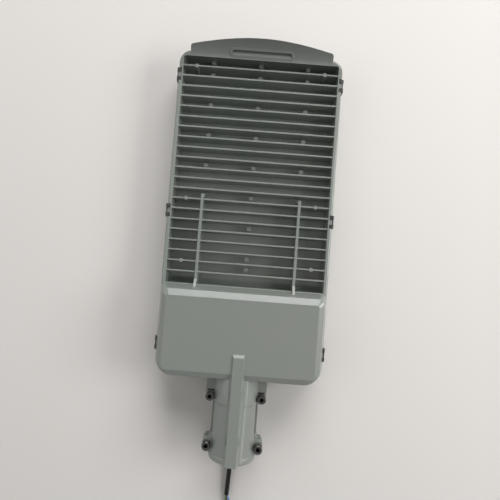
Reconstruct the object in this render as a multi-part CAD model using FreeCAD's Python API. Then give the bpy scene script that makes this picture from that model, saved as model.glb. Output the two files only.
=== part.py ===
import FreeCAD, Part
import math
import os

# LED street light head, fins up, resting on its flat light side.
# X is across the head, +Y points from the pole socket to the front peak, +Z is up.
# The origin is on the resting plane, halfway along the head.
# Lengths are in millimetres.

# Whole head
overall_length = 656.0
body_width = 262.0
peak_reach = 18.2
socket_reach = 123.0
box_length = 141.5
front_corner = 20.0
rear_corner = 24.0

# Heights above the resting plane
frame_height = 10.0
seal_thickness = 1.5
board_face_height = 22.0
floor_thickness = 4.0
rim_height = 52.0
box_height = 77.0
spine_height = 79.5
socket_axis_height = 37.0

# Finned trough
rim_width = 7.0
rim_round = 4.0
deck_depth = 9.0
fin_pitch = 16.4
fin_top_width = 2.4
fin_root_width = 3.4
fin_drop = 0.6
root_bite = 1.0
trough_cove = 12.0
rib_width = 4.2
rib_rise = 0.8
rib_start_gap = 13
gusset_rise = 14.5
gusset_run = 18.0
boss_radius = 3.6
boss_drop = 12.0
boss_column_pitch = 77.0
rows_per_board_cell = 3
lump_radius = 3.1
lump_rise = 0.4
lump_offset = 102.4

# Front peak with its long recess
peak_rise = 13.6
peak_half_width = 114.0
peak_setback = 11.1
peak_thickness = 4.0
peak_corner = 4.0
peak_from_trough = 0.2
recess_length = 96.0
recess_width = 7.0
recess_depth = 2.2
recess_foot_depth = 0.3
recess_lip = 3.6
recess_lip_rise = 0.5
recess_foot_rise = 0.2
recess_from_deck = 8.3

# Driver box
box_side_lean = 7.5
box_rear_lean = 3.9
box_front_lean = 8.4
box_shoulder = 5.0
shoulder_side_run = 8.2
shoulder_rear_run = 9.3
shoulder_front_run = 10.0
box_crease = 3.0
box_top_crease = 1.5
box_front_corner = 8.0
box_top_corner = 3.0
box_top_rear_corner = 6.0
box_wall = 5.0
flange_width = 10.0
rear_wall = 6.5
front_wall = 6.0
partition = 14.0
cavity_round = 6.0

# Pole socket
pole_radius = 30.0
pole_clearance = 0.1
socket_wall = 5.9
collar_step = 1.0
socket_depth = 85.0
split_gap = 4.0
saddle_gap = 2.0
window_height = 14.0
window_end_gap = 6.0
mouth_ring_length = 9.0
mouth_ring_round = 2.0
neck_half_width = 47.0
neck_length = 19.0
neck_top = 50.0
neck_bottom = 12.0
channel_half_width = 16.0
ear_thickness = 9.0
upper_ear_length = 16.0
lower_ear_length = 21.5
lower_ear_from_mouth = 7.5
ear_corner = 6.0
gusset_length = 8.0
slot_width = 3.0
slot_length = 12.0
slot_setback = 2.6
spot_face_radius = 7.8
spine_top_width = 15.6
spine_foot_width = 22.8
spine_run_on_box = 44.5
spine_ramp = 6.0

# Clamp fasteners
bolt_radius = 4.0
bolt_clearance = 0.5
bolt_offset = 40.0
bolt_head_radius = 6.5
bolt_head_height = 8.0
bolt_head_bevel = 0.7
bolt_socket_flats = 6.0
bolt_socket_depth = 4.0
nut_face_inset = 0.2
nut_chamfer_slope = 0.6
flat_washer_radius = 7.0
flat_washer_thickness = 1.6
spring_washer_radius = 6.35
spring_washer_thickness = 2.0
spring_washer_gap = 1.6
nut_flats = 13.0
nut_height = 6.8
thread_clearance = 0.05
bolt_tip = 2.4
neck_to_bolt = 8.5
mouth_to_bolt = 20.3

# Bottom frame, glass and seals
frame_inset = 0.5
frame_lip = 2.5
frame_edge_round = 2.5
glass_seal_thickness = 1.2
glass_thickness = 4.0
glass_inset = 20.0
glass_end_inset = 3.0
glass_corner = 12.0
glass_lip_width = 6.0
glass_gap = 1.0
tray_floor = 3.5
tray_rib_width = 3.0
tray_rib_height = 3.0
tray_rib_count = 5
seal_inset = 3.0
seal_width = 5.0
seal_least_corner = 1.0
tab_width = 16.0
tab_length = 13.5
tab_overlap = 5.0
tab_thickness = 1.5
tab_screw_radius = 2.0
tab_screw_head_radius = 3.4
tab_screw_head_height = 2.0
tab_screw_depth = 3.5
tabs_per_side = 4

# Light engine
board_thickness = 2.0
board_half_width = 92.0
board_end_margin = 1.5
plate_gap = 2.0
plate_height = 3.5
plate_skin = 2.0
plate_skirt = 2.0
lens_radius = 9.0
lens_tip_radius = 6.5
lens_height = 5.0
lenses_across = 3
lenses_along = 2
emitter_side = 3.5
emitter_height = 0.8
board_screw_radius = 1.5
board_screw_head_radius = 3.0
board_screw_head_height = 2.2
board_screw_depth = 9.0

# Gear in the driver box
gear_tray_thickness = 1.5
gear_tray_margin = 6.0
gear_tray_flange = 8.0
gear_post_radius = 5.0
gear_post_height = 8.5
gear_post_inset = 14.0
gear_screw_radius = 2.0
gear_screw_head_radius = 4.0
gear_screw_head_height = 2.4
gear_screw_depth = 6.0
driver_length = 186.0
driver_width = 62.0
driver_height = 36.0
driver_foot = 9.0
driver_foot_thickness = 2.0
driver_round = 3.0
driver_from_front = 28.0
driver_screw_radius = 1.8
driver_screw_head_radius = 3.4
driver_screw_head_height = 2.2
surge_length = 44.0
surge_width = 26.0
surge_height = 28.0
surge_round = 2.0
surge_offset = 66.0
terminal_from_rear = 10.5
terminal_depth = 18.0
terminal_half_width = 22.0
terminal_height = 20.0
terminal_ways = 3
terminal_mouth = 5.0
earth_offset = -60.0
earth_post_height = 12.0
grommet_half_width = 9.0
grommet_height = 5.0
lead_hole_radius = 1.6

# Cable entry
cable_radius = 3.6
gland_height = 25.0
gland_clearance = 0.1
gland_thread_radius = 6.0
gland_hex_flats = 17.0
gland_hex_length = 5.0
gland_dome_length = 7.0
gland_dome_radius = 7.6
gland_mouth_radius = 5.7
gland_nut_flats = 16.0
gland_nut_length = 4.0
gland_thread_length = 12.0

# Side clips
clip_width = 20.0
clip_thickness = 1.0
clip_bend = 0.6
clip_window = 8.0
clip_finger = 5.0
clip_stand_off = 1.8
clip_belly = 1.0
clip_flare = 3.6
clip_tip_height = 1.8
notch_depth = 2.0
notch_side_gap = 0.4
notch_reach = 5.2
pocket_height = 6.0
groove_depth = 2.0
groove_half_height = 3.6
groove_height = 5.6
front_clip_from_front = 40.4
rear_clip_from_rear = 46.3
middle_clip_shift = -5.2

# The supply cable's route from the terminals through the gland and the socket to the resting plane
cable_route = [
    (0.0, -188.0, 25.0),
    (0.0, -242.5, 25.0),
    (-0.6, -297.0, 14.8),
    (-1.1, -331.0, 11.4),
    (-1.8, -361.0, 5.8),
    (-2.6, -386.0, 3.9),
    (-3.6, -409.0, 3.7),
]

# The routes of its three cores, from the end of the sheath to their bare ends
core_radius = 1.2
core_routes = {
    "core_earth": [
        (-4.9, -409.3, 3.1),
        (-4.9, -413.2, 3.0),
        (-4.5, -417.6, 2.5),
        (-4.3, -423.0, 1.7),
        (-5.0, -429.0, 1.3),
        (-6.3, -435.0, 1.3),
        (-8.4, -440.6, 1.3),
        (-10.9, -445.2, 1.3),
    ],
    "core_neutral": [
        (-2.2, -409.3, 3.1),
        (-1.8, -413.1, 3.0),
        (-0.2, -416.8, 2.6),
        (2.1, -420.3, 1.9),
        (3.9, -424.5, 1.4),
        (4.6, -429.2, 1.3),
        (4.5, -434.2, 1.3),
        (3.7, -439.0, 1.3),
        (2.4, -443.4, 1.3),
    ],
    "core_line": [
        (-3.6, -409.3, 5.4),
        (-3.6, -413.4, 5.4),
        (-3.1, -418.0, 4.9),
        (-2.2, -423.4, 3.6),
        (-1.4, -429.2, 1.9),
        (-0.9, -435.0, 1.3),
        (-1.3, -440.6, 1.3),
        (-2.2, -445.8, 1.3),
    ],
}
arc_share = 0.45

# Places along the head
y_peak = overall_length / 2
y_mouth = -overall_length / 2
y_front = y_peak - peak_reach
y_rear = y_mouth + socket_reach
y_box = y_rear + box_length
y_deck = y_front - deck_depth
y_neck = y_rear - neck_length
y_ear = y_neck - upper_ear_length
y_stop = y_mouth + socket_depth
y_lower_ear = y_mouth + lower_ear_from_mouth
half_width = body_width / 2

# Levels
z_housing = frame_height + seal_thickness
z_board = board_face_height
z_floor = board_face_height + floor_thickness
z_fin = rim_height - fin_drop
z_boss = z_fin - boss_drop
z_box_foot = rim_height - rim_round
z_shoulder = box_height - box_shoulder
z_ceiling = box_height - box_wall
z_axis = socket_axis_height
z_ear = z_axis + split_gap / 2
z_saddle = z_axis - split_gap / 2
z_ear_top = z_ear + ear_thickness
z_saddle_foot = z_saddle - ear_thickness
z_glass = frame_lip + glass_seal_thickness
z_tab = z_glass + glass_thickness
z_gear = tray_floor + gear_post_height
z_gear_face = z_gear + gear_tray_thickness
bore_radius = pole_radius + pole_clearance
socket_radius = bore_radius + socket_wall

# The trough between the rims
trough_half = half_width - rim_width
fin_root = fin_root_width / 2
fin_top = fin_top_width / 2
y_trough_front = y_deck - fin_top
y_trough_rear = y_box + (rim_height - z_box_foot) * box_front_lean / (z_shoulder - z_box_foot) / 2
fin_count = int((y_deck - y_box) / fin_pitch) - 1

# Compartments under the floor and in the box
cavity_half = half_width - flange_width
y_led_front = y_front - front_wall
y_gear_front = y_trough_rear - front_wall
y_led_rear = y_gear_front + partition
y_gear_rear = y_rear + rear_wall

# The frame's outline, the glass and its window
frame_half = half_width - frame_inset
y_frame_front = y_front - frame_inset
y_frame_rear = y_rear + frame_inset
glass_half = half_width - glass_inset
y_glass_front = y_led_front - glass_end_inset
y_glass_rear = y_led_rear + glass_end_inset
window_half = glass_half - glass_lip_width
y_window_front = y_glass_front - glass_lip_width
y_window_rear = y_glass_rear + glass_lip_width


def vec(x, y, z):
    return FreeCAD.Vector(x, y, z)


def block(x0, x1, y0, y1, z0, z1):
    return Part.makeBox(x1 - x0, y1 - y0, z1 - z0, vec(x0, y0, z0))


def rod_x(y, z, radius, x0, x1):
    return Part.makeCylinder(radius, x1 - x0, vec(x0, y, z), vec(1, 0, 0))


def rod_y(x, z, radius, y0, y1):
    return Part.makeCylinder(radius, y1 - y0, vec(x, y0, z), vec(0, 1, 0))


def rod_z(x, y, radius, z0, z1):
    return Part.makeCylinder(radius, z1 - z0, vec(x, y, z0), vec(0, 0, 1))


def hexagon(x, y, z, flats, length, way):
    """A hexagonal prism from a point, along the unit vector way."""
    corner = flats / math.sqrt(3)
    points = []
    for step in range(7):
        angle = math.radians(60 * step)
        across, aside = corner * math.cos(angle), corner * math.sin(angle)
        if abs(way.z) > 0.5:
            points.append(vec(x + across, y + aside, z))
        else:
            points.append(vec(x + across, y, z + aside))
    return Part.Face(Part.makePolygon(points)).extrude(way * length)


def outline(half, y_back, y_ahead, back_radius, ahead_radius, z):
    """A closed rounded rectangle at height z, with its own corner radius at each end."""
    keep = 1 - math.sqrt(0.5)
    corners = []
    for x, y, radius in ((half, y_ahead, ahead_radius), (-half, y_ahead, ahead_radius),
                         (-half, y_back, back_radius), (half, y_back, back_radius)):
        in_x = -math.copysign(radius, x)
        in_y = -radius if y == y_ahead else radius
        on_side = vec(x, y + in_y, z)
        on_end = vec(x + in_x, y, z)
        middle = vec(x + in_x * keep, y + in_y * keep, z)
        arc = (on_side, middle, on_end)
        if x * in_y > 0:
            arc = (on_end, middle, on_side)
        corners.append(arc)
    edges = []
    for number, (start, middle, end) in enumerate(corners):
        edges.append(Part.Arc(start, middle, end).toShape())
        edges.append(Part.LineSegment(end, corners[(number + 1) % 4][0]).toShape())
    return Part.Wire(edges)


def slab(half, y_back, y_ahead, back_radius, ahead_radius, z0, z1):
    face = Part.Face(outline(half, y_back, y_ahead, back_radius, ahead_radius, z0))
    return face.extrude(vec(0, 0, z1 - z0))


def across(points, x0, x1):
    """A solid with the same (y, z) section from x0 to x1."""
    corners = [vec(x0, y, z) for y, z in points]
    return Part.Face(Part.makePolygon(corners + corners[:1])).extrude(vec(x1 - x0, 0, 0))


def lengthwise(points, y0, y1):
    """A solid with the same (x, z) section from y0 to y1."""
    corners = [vec(x, y0, z) for x, z in points]
    return Part.Face(Part.makePolygon(corners + corners[:1])).extrude(vec(0, y1 - y0, 0))


def mirrored(shape):
    return shape.mirror(vec(0, 0, 0), vec(1, 0, 0))


def both_sides(shapes):
    return shapes + [mirrored(shape) for shape in shapes]


def near(value, target):
    return abs(value - target) < 0.01


def edges_between(shape, test):
    """The edges whose two ends both pass the test."""
    return [edge for edge in shape.Edges if all(test(vertex.Point) for vertex in edge.Vertexes)]


def uprights(shape, test):
    """The vertical edges whose ends pass the test."""
    found = []
    for edge in edges_between(shape, test):
        ends = edge.Vertexes
        if len(ends) == 2 and near(ends[0].X, ends[1].X) and near(ends[0].Y, ends[1].Y):
            found.append(edge)
    return found


def fin_place(number):
    return y_deck - fin_pitch * number


def gap_place(number):
    """The middle of the gap behind a fin."""
    return fin_place(number) - fin_pitch / 2


def boss_rows():
    """The rows across the trough that have a boss in the middle."""
    return [gap_place(number) for number in range(1, fin_count, rows_per_board_cell)]


def boss_places():
    """Every screw boss: three columns up to the long ribs, then the middle one alone."""
    places = []
    first_row = y_trough_front - boss_radius + root_bite
    for y in [first_row] + boss_rows():
        for x in (-boss_column_pitch, 0.0, boss_column_pitch):
            if x == 0.0 or y > gap_place(rib_start_gap) - root_bite:
                places.append((x, y))
    places.append((0.0, gap_place(fin_count - 1)))
    return places


def clip_places():
    front = y_front - front_clip_from_front
    rear = y_rear + rear_clip_from_rear
    return [front, (front + rear) / 2 + middle_clip_shift, rear]


def bolt_places():
    return [(side * bolt_offset, y) for side in (-1, 1)
            for y in (y_neck - neck_to_bolt, y_mouth + mouth_to_bolt)]


def rim_body():
    """The low part of the housing, with its rounded outer edge on top."""
    back = y_box - box_front_corner
    solid = slab(half_width, back, y_front, rim_round * 2, front_corner, z_housing, rim_height)
    return solid.makeFillet(rim_round, edges_between(solid, lambda p: near(p.z, rim_height)))


def box_loft(half, y_back, y_ahead, levels, back_radius, ahead_radius):
    """The upper part of the box or of its cavity: leaning walls up to a flatter shoulder, then the top."""
    low, middle, high = levels
    lean = (middle - low) / (z_shoulder - z_box_foot)
    slope = (high - middle) / box_shoulder
    wires = [outline(half, y_back, y_ahead, back_radius, ahead_radius, low)]
    half -= box_side_lean * lean
    y_back += box_rear_lean * lean
    y_ahead -= box_front_lean * lean
    wires.append(outline(half, y_back, y_ahead, back_radius, ahead_radius, middle))
    wires.append(outline(half - shoulder_side_run * slope, y_back + shoulder_rear_run * slope,
                         y_ahead - shoulder_front_run * slope, box_top_rear_corner, box_top_corner, high))
    return Part.makeLoft(wires, True, True)


def box_body():
    """The raised driver box, straight up to the rounding of the rim and leaning in above it."""
    front_foot = y_box + (rim_height - z_box_foot) * box_front_lean / (z_shoulder - z_box_foot)
    foot = slab(half_width, y_rear, front_foot, rear_corner, box_front_corner, z_housing, z_box_foot)
    upper = box_loft(half_width, y_rear, front_foot, (z_box_foot, z_shoulder, box_height),
                     rear_corner, box_front_corner)
    upper = upper.makeFillet(box_top_crease, edges_between(upper, lambda p: near(p.z, box_height)))
    upper = upper.makeFillet(box_crease, edges_between(upper, lambda p: near(p.z, z_shoulder)))
    return [foot, upper]


def box_cavity():
    """The room for the gear, open below."""
    foot = slab(cavity_half, y_gear_rear, y_gear_front, rear_corner - rear_wall, cavity_round,
                z_housing - 1, z_box_foot)
    upper = box_loft(cavity_half, y_gear_rear, y_gear_front, (z_box_foot, z_shoulder - box_wall, z_ceiling),
                     rear_corner - rear_wall, cavity_round)
    return foot.fuse(upper)


def scoop_radius():
    """The radius of the hollow that rises from the deck to the edge of the peak."""
    reach = y_peak - y_deck
    return (reach ** 2 + peak_rise ** 2) / (2 * peak_rise)


def scoop(extra, half):
    """A round bar whose lowest line lies that much below the hollow's surface."""
    return rod_x(y_deck, rim_height + scoop_radius(), scoop_radius() + extra, -half, half)


def peak_body():
    """The thin upturned peak in front of the deck: hollow above, round below, with an arched edge."""
    x = peak_half_width
    y_back = y_trough_front + peak_from_trough
    y_end = y_peak - peak_setback
    arch = Part.Arc(vec(x, y_end, 0), vec(0, y_peak, 0), vec(-x, y_end, 0)).toShape()
    sides = Part.makePolygon([vec(-x, y_end, 0), vec(-x, y_back, 0), vec(x, y_back, 0), vec(x, y_end, 0)])
    plan = Part.Face(Part.Wire([arch] + sides.Edges)).extrude(vec(0, 0, 2 * box_height))
    plan = plan.makeFillet(peak_corner, uprights(plan, lambda p: near(p.y, y_end)))
    low = rim_height - peak_thickness
    shell = scoop(peak_thickness, x + 1).cut(scoop(0, x + 2))
    shell = shell.common(block(-x - 1, x + 1, y_back, y_peak + 1, low, rim_height + 2 * peak_rise))
    root = block(-x, x, y_back, y_front - rim_round, low, rim_height + peak_rise).cut(scoop(0, x + 2))
    return shell.fuse(root).common(plan)


def hollow_height(y):
    """The height of the hollow's surface."""
    return rim_height + scoop_radius() - math.sqrt(scoop_radius() ** 2 - (y - y_deck) ** 2)


def recess_plan(margin):
    """The round-ended plan of the recess, grown by a margin."""
    radius = recess_width / 2 + margin
    x = recess_length / 2 - recess_width / 2
    y = y_deck + recess_from_deck
    z0, z1 = rim_height - peak_thickness, rim_height + peak_rise
    middle = block(-x, x, y - radius, y + radius, z0, z1)
    return middle.fuse([rod_z(-x, y, radius, z0, z1), rod_z(x, y, radius, z0, z1)]).removeSplitter()


def recess_slope(margin, low_change, high_change, end):
    """A solid from a height to a flat face that leans less than the hollow, set by its two long edges."""
    radius = recess_width / 2 + margin
    y0 = y_deck + recess_from_deck - radius
    y1 = y_deck + recess_from_deck + radius
    section = [(y0, end), (y1, end), (y1, hollow_height(y1) + high_change),
               (y0, hollow_height(y0) + low_change)]
    return across(section, -peak_half_width, peak_half_width)


def recess_tool():
    """The recess, shallow at the deck and deep under its upper edge."""
    room = recess_slope(0.0, -recess_foot_depth, -recess_depth, rim_height + 2 * peak_rise)
    return recess_plan(0.0).common(room)


def recess_border():
    """The flat raised border round the recess."""
    ring = recess_plan(recess_lip).cut(recess_plan(0.0))
    band = recess_slope(recess_lip, recess_foot_rise, recess_lip_rise, rim_height - peak_thickness)
    return ring.common([band]).common(scoop(root_bite, peak_half_width))


def trough():
    """The space that the fins stand in, with a cove at the foot of the box."""
    tool = block(-trough_half, trough_half, y_trough_rear, y_trough_front, z_floor, box_height)
    foot = edges_between(tool, lambda p: near(p.z, z_floor) and near(p.y, y_trough_rear))
    tool = tool.makeFillet(trough_cove, foot)
    return tool.makeFillet(fin_root_width, uprights(tool, lambda p: near(p.y, y_trough_front)))


def fin(number):
    """One cross fin, thicker at its root, let into both rims."""
    y = fin_place(number)
    section = [(y - fin_root, z_floor - root_bite), (y + fin_root, z_floor - root_bite),
               (y + fin_top, z_fin), (y - fin_top, z_fin)]
    return across(section, -trough_half - root_bite, trough_half + root_bite)


def long_rib():
    """The long rib over the last fins, with the gusset that carries it up the box."""
    x0 = boss_column_pitch - rib_width / 2
    x1 = boss_column_pitch + rib_width / 2
    y0 = gap_place(rib_start_gap)
    y1 = y_box - gusset_run / 2
    top = z_fin + rib_rise
    section = [(y1, z_floor - root_bite), (y0, z_floor - root_bite), (y0, top),
               (y_box + gusset_run / 2, top), (y1, top + gusset_rise)]
    return across(section, x0, x1)


def bosses():
    return [rod_z(x, y, boss_radius, z_floor - root_bite, z_boss) for x, y in boss_places()]


def lumps():
    """Round pads on three of the fins, where the casting was pushed out of its mould."""
    numbers = (1, rib_start_gap + 1, fin_count - 1)
    low, high = z_floor - root_bite, z_fin + lump_rise
    return [rod_z(side * lump_offset, fin_place(number), lump_radius, low, high)
            for number in numbers for side in (-1, 1)]


def ring_half(y0, y1, radius, z0, z1):
    """The part of the socket's round bar between two heights."""
    reach = socket_radius + 2 * collar_step
    return rod_y(0, z_axis, radius, y0, y1).common(block(-reach, reach, y0, y1, z0, z1))


def mouth_ring(z0, z1):
    """The thicker end of the socket at its mouth, with rounded edges, between two heights."""
    y1 = y_mouth + mouth_ring_length
    reach = socket_radius + 2 * collar_step
    bar = rod_y(0, z_axis, socket_radius + collar_step, y_mouth, y1)
    bar = bar.makeFillet(mouth_ring_round, [edge for edge in bar.Edges if len(edge.Vertexes) == 1])
    return bar.common(block(-reach, reach, y_mouth, y1, z0, z1))


def ear(y0, length, z0, z1, rounded):
    """One ear beside the socket, at +X, with its outer corners rounded where it stands alone."""
    solid = block(bore_radius + root_bite, neck_half_width, y0, y0 + length, z0, z1)
    if rounded:
        corners = uprights(solid, lambda p: near(p.x, neck_half_width))
        solid = solid.makeFillet(ear_corner, corners)
    return solid


def ear_gusset(z0, z1):
    """The sloping web from the rear ear forward to the socket wall, at +X."""
    y0 = y_lower_ear + lower_ear_length - ear_corner
    y1 = y0 + ear_corner + gusset_length
    inner = bore_radius + root_bite
    points = [vec(inner, y0, z0), vec(neck_half_width - ear_corner, y0, z0),
              vec(socket_radius, y1, z0), vec(inner, y1, z0)]
    return Part.Face(Part.makePolygon(points + points[:1])).extrude(vec(0, 0, z1 - z0))


def spine():
    """The ridge along the top of the socket and onto the box, with a ramp at its front."""
    foot, top = spine_foot_width / 2, spine_top_width / 2
    z_foot = z_axis + socket_radius
    z_root = z_axis + bore_radius - 2 * root_bite
    y1 = y_rear + spine_run_on_box
    section = [(-foot, z_root), (foot, z_root), (foot, z_foot), (top, spine_height),
               (-top, spine_height), (-foot, z_foot)]
    ridge = lengthwise(section, y_mouth, y1)
    ramp = across([(y1 + 1, z_foot), (y1 + 1, spine_height + 1), (y1 - spine_ramp, spine_height + 1),
                   (y1 - spine_ramp, spine_height), (y1, box_height - root_bite), (y1, z_foot)],
                  -foot - 1, foot + 1)
    return ridge.cut(ramp)


def socket_upper():
    """The upper half of the pole socket with its collar, neck and four ears."""
    reach = z_axis + 2 * socket_radius
    pieces = [
        ring_half(y_mouth, y_rear + 2 * rear_wall, socket_radius, z_ear, reach),
        ring_half(y_ear, y_rear + 2 * rear_wall, socket_radius + collar_step, z_ear, reach),
        mouth_ring(z_ear, reach),
        block(-neck_half_width, neck_half_width, y_neck, y_rear + rear_wall / 2, neck_bottom, neck_top),
    ]
    pieces += both_sides([
        ear(y_ear, upper_ear_length + root_bite, z_ear, z_ear_top, False),
        ear(y_lower_ear, lower_ear_length, z_ear, z_ear_top, True),
        ear_gusset(z_ear, z_ear_top),
    ])
    return pieces


def socket_room():
    """What is taken out of the upper half: the bore, the cable channel, the side windows and slots."""
    window_top = z_ear + window_height
    y_window = y_lower_ear + lower_ear_length + window_end_gap + gusset_length / 2
    bolt_hole = bolt_radius + bolt_clearance
    tools = [
        rod_y(0, z_axis, bore_radius, y_mouth - 1, y_stop),
        block(-channel_half_width, channel_half_width, y_stop - 1, y_rear, neck_bottom - 1, neck_top),
    ]
    tools += both_sides([
        block(bore_radius - 4 * root_bite, neck_half_width, y_window, y_ear, z_ear - 1, window_top),
        block(bolt_offset - slot_length + bolt_radius, bolt_offset + bolt_radius,
              y_neck - slot_setback, y_neck - slot_setback + slot_width, z_ear, neck_top + 1),
    ])
    tools += [rod_z(x, y, bolt_hole, z_ear - 1, z_ear_top + 1) for x, y in bolt_places()]
    tools += [rod_z(x, y, spot_face_radius, z_ear_top, box_height) for x, y in bolt_places()]
    return tools


def gland_hole():
    return rod_y(0, gland_height, gland_thread_radius + gland_clearance, y_rear - 1, y_gear_rear + 1)


def grommet_hole(y0, y1):
    """The slot through the partition for the leads, open below."""
    return block(-grommet_half_width, grommet_half_width, y0, y1, z_housing - 1, z_housing + grommet_height)


def clip_notch(y, raised):
    """The seat of one clip's fingers at +X: a notch in the rim, or a pocket in the wall of the box."""
    half = clip_width / 2 + notch_side_gap
    z0 = rim_height - notch_depth
    z1 = z0 + pocket_height if raised else rim_height + 1
    return block(half_width - notch_reach, half_width + 1, y - half, y + half, z0, z1)


def housing():
    front, middle, rear = clip_places()
    body = rim_body().fuse(box_body() + [peak_body(), spine()] + socket_upper())
    body = body.cut([trough(), recess_tool()])
    inner = [fin(number) for number in range(1, fin_count + 1)]
    inner += both_sides([long_rib()]) + bosses() + lumps()
    body = body.fuse(inner + [recess_border()])
    tools = [
        slab(cavity_half, y_led_rear, y_led_front, cavity_round, front_corner - front_wall,
             z_housing - 1, z_board),
        box_cavity(),
        grommet_hole(y_gear_front - 1, y_led_rear + 1),
        gland_hole(),
    ]
    tools += socket_room()
    tools += both_sides([clip_notch(front, False), clip_notch(middle, False), clip_notch(rear, True)])
    hole = board_screw_radius + thread_clearance
    z_screw = z_board - board_thickness + board_screw_depth
    tools += [rod_z(x, y, hole, z_board - 1, z_screw + thread_clearance) for x, y in boss_places()]
    return body.cut(tools)


def socket_saddle():
    """The lower half of the socket, a half pipe with four ears."""
    y0, y1 = y_mouth, y_neck - saddle_gap
    low = z_axis - 2 * socket_radius
    body = ring_half(y0, y1, socket_radius, low, z_saddle).fuse(mouth_ring(low, z_saddle))
    ears = both_sides([
        ear(y_ear, upper_ear_length - saddle_gap, z_saddle_foot, z_saddle, False),
        ear(y_lower_ear, lower_ear_length, z_saddle_foot, z_saddle, True),
        ear_gusset(z_saddle_foot, z_saddle),
    ])
    body = body.fuse(ears)
    tools = [rod_y(0, z_axis, bore_radius, y0 - 1, y1 + 1)]
    tools += [rod_z(x, y, bolt_radius + bolt_clearance, z_saddle_foot - 1, z_saddle + 1)
              for x, y in bolt_places()]
    tools += [rod_z(x, y, spot_face_radius, 0, z_saddle_foot) for x, y in bolt_places()]
    return body.cut(tools).removeSplitter()


def hex_nut(x, y, z):
    """A hexagonal nut below the level z, its lower face turned down to a round edge."""
    down = vec(0, 0, -1)
    face_radius = nut_flats / 2 - nut_face_inset
    wide = face_radius + nut_height / nut_chamfer_slope
    cone = Part.makeCone(wide, face_radius, nut_height, vec(x, y, z), down)
    return hexagon(x, y, z, nut_flats, nut_height, down).common(cone)


def cap_head(x, y, z):
    """A round head on the level z, with a hexagon socket in its top."""
    top = z + bolt_head_height
    head = rod_z(x, y, bolt_head_radius, z, top)
    head = head.makeChamfer(bolt_head_bevel, edges_between(head, lambda p: near(p.z, top)))
    return head.cut(hexagon(x, y, top + 1, bolt_socket_flats, bolt_socket_depth + 1, vec(0, 0, -1)))


def clamp_bolts():
    """Four socket head screws through the ears."""
    z_head = z_ear_top + flat_washer_thickness + spring_washer_thickness
    z_end = z_saddle_foot - nut_height - bolt_tip
    solids = []
    for x, y in bolt_places():
        solids.append(cap_head(x, y, z_head).fuse(rod_z(x, y, bolt_radius, z_end, z_head)))
    return solids


def clamp_nuts():
    solids = []
    for x, y in bolt_places():
        nut = hex_nut(x, y, z_saddle_foot)
        hole = rod_z(x, y, bolt_radius + thread_clearance, z_saddle_foot - nut_height - 1, z_saddle_foot + 1)
        solids.append(nut.cut(hole))
    return solids


def clamp_flat_washers():
    z0, z1 = z_ear_top, z_ear_top + flat_washer_thickness
    solids = []
    for x, y in bolt_places():
        disc = rod_z(x, y, flat_washer_radius, z0, z1)
        solids.append(disc.cut(rod_z(x, y, bolt_radius + bolt_clearance, z0 - 1, z1 + 1)))
    return solids


def clamp_spring_washers():
    """Split rings under the bolt heads."""
    z0 = z_ear_top + flat_washer_thickness
    z1 = z0 + spring_washer_thickness
    solids = []
    for x, y in bolt_places():
        ring = rod_z(x, y, spring_washer_radius, z0, z1)
        ring = ring.cut(rod_z(x, y, bolt_radius + bolt_clearance / 2, z0 - 1, z1 + 1))
        split = block(x, x + 2 * spring_washer_radius, y - spring_washer_gap / 2, y + spring_washer_gap / 2,
                      z0 - 1, z1 + 1)
        solids.append(ring.cut(split))
    return solids


def clip_line():
    """The middle line of one clip at +X, from the tip of its fingers to its flared tail."""
    seat = rim_height - notch_depth + clip_thickness / 2
    groove_bottom = frame_half - groove_depth
    return [
        (half_width - notch_reach + clip_thickness / 2, seat),
        (half_width + clip_stand_off, seat),
        (half_width + clip_stand_off + clip_belly, (seat + frame_height) / 2),
        (half_width + clip_stand_off, groove_height + groove_half_height + clip_stand_off),
        (groove_bottom + clip_thickness, groove_height),
        (half_width + clip_flare, clip_tip_height),
    ]


def strip(line, thickness, y0, y1, inner_bend):
    """A bent flat strip that follows a line of (x, z) points."""
    half = thickness / 2
    sides = {1: [], -1: []}
    bends = []
    slight_turn = 0.2
    last = len(line) - 1
    for number, (x, z) in enumerate(line):
        before = vec(x - line[number - 1][0], 0, z - line[number - 1][1]) if number > 0 else None
        after = vec(line[number + 1][0] - x, 0, line[number + 1][1] - z) if number < last else None
        first = (before or after).normalize()
        second = (after or before).normalize()
        normal_a = vec(-first.z, 0, first.x)
        normal_b = vec(-second.z, 0, second.x)
        mitre = (normal_a + normal_b) * (half / (1 + normal_a.dot(normal_b)))
        turn = first.x * second.z - first.z * second.x
        for side in (1, -1):
            point = vec(x, y0, z) + mitre * side
            sides[side].append(point)
            if 0 < number < last and abs(turn) > slight_turn:
                radius = inner_bend if side * turn > 0 else inner_bend + thickness
                bends.append((point, radius))
    loop = sides[1] + sides[-1][::-1]
    solid = Part.Face(Part.makePolygon(loop + loop[:1])).extrude(vec(0, y1 - y0, 0))
    for point, radius in bends:
        edges = edges_between(solid, lambda p: near(p.x, point.x) and near(p.z, point.z))
        solid = solid.makeFillet(radius, edges)
    return solid


def side_clips():
    """Six spring clips: two fingers over the rim, a bowed leg, a crimp in the frame and a flared tail."""
    line = clip_line()
    z_slot = line[0][1] - clip_finger
    solids = []
    for y in clip_places():
        clip = strip(line, clip_thickness, y - clip_width / 2, y + clip_width / 2, clip_bend)
        window = block(half_width - 2 * notch_reach, half_width + 2 * notch_reach,
                       y - clip_window / 2, y + clip_window / 2, z_slot, rim_height)
        clip = clip.cut(window)
        solids += [clip, mirrored(clip)]
    return solids


def clip_groove(y):
    """The V groove in the frame's side at +X that one clip's crimp snaps into."""
    half = clip_width / 2 + notch_side_gap
    outside = half_width + 1
    reach = groove_half_height + 1
    section = [(frame_half - groove_depth, groove_height), (outside, groove_height - reach),
               (outside, groove_height + reach)]
    return lengthwise(section, y - half, y + half)


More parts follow.
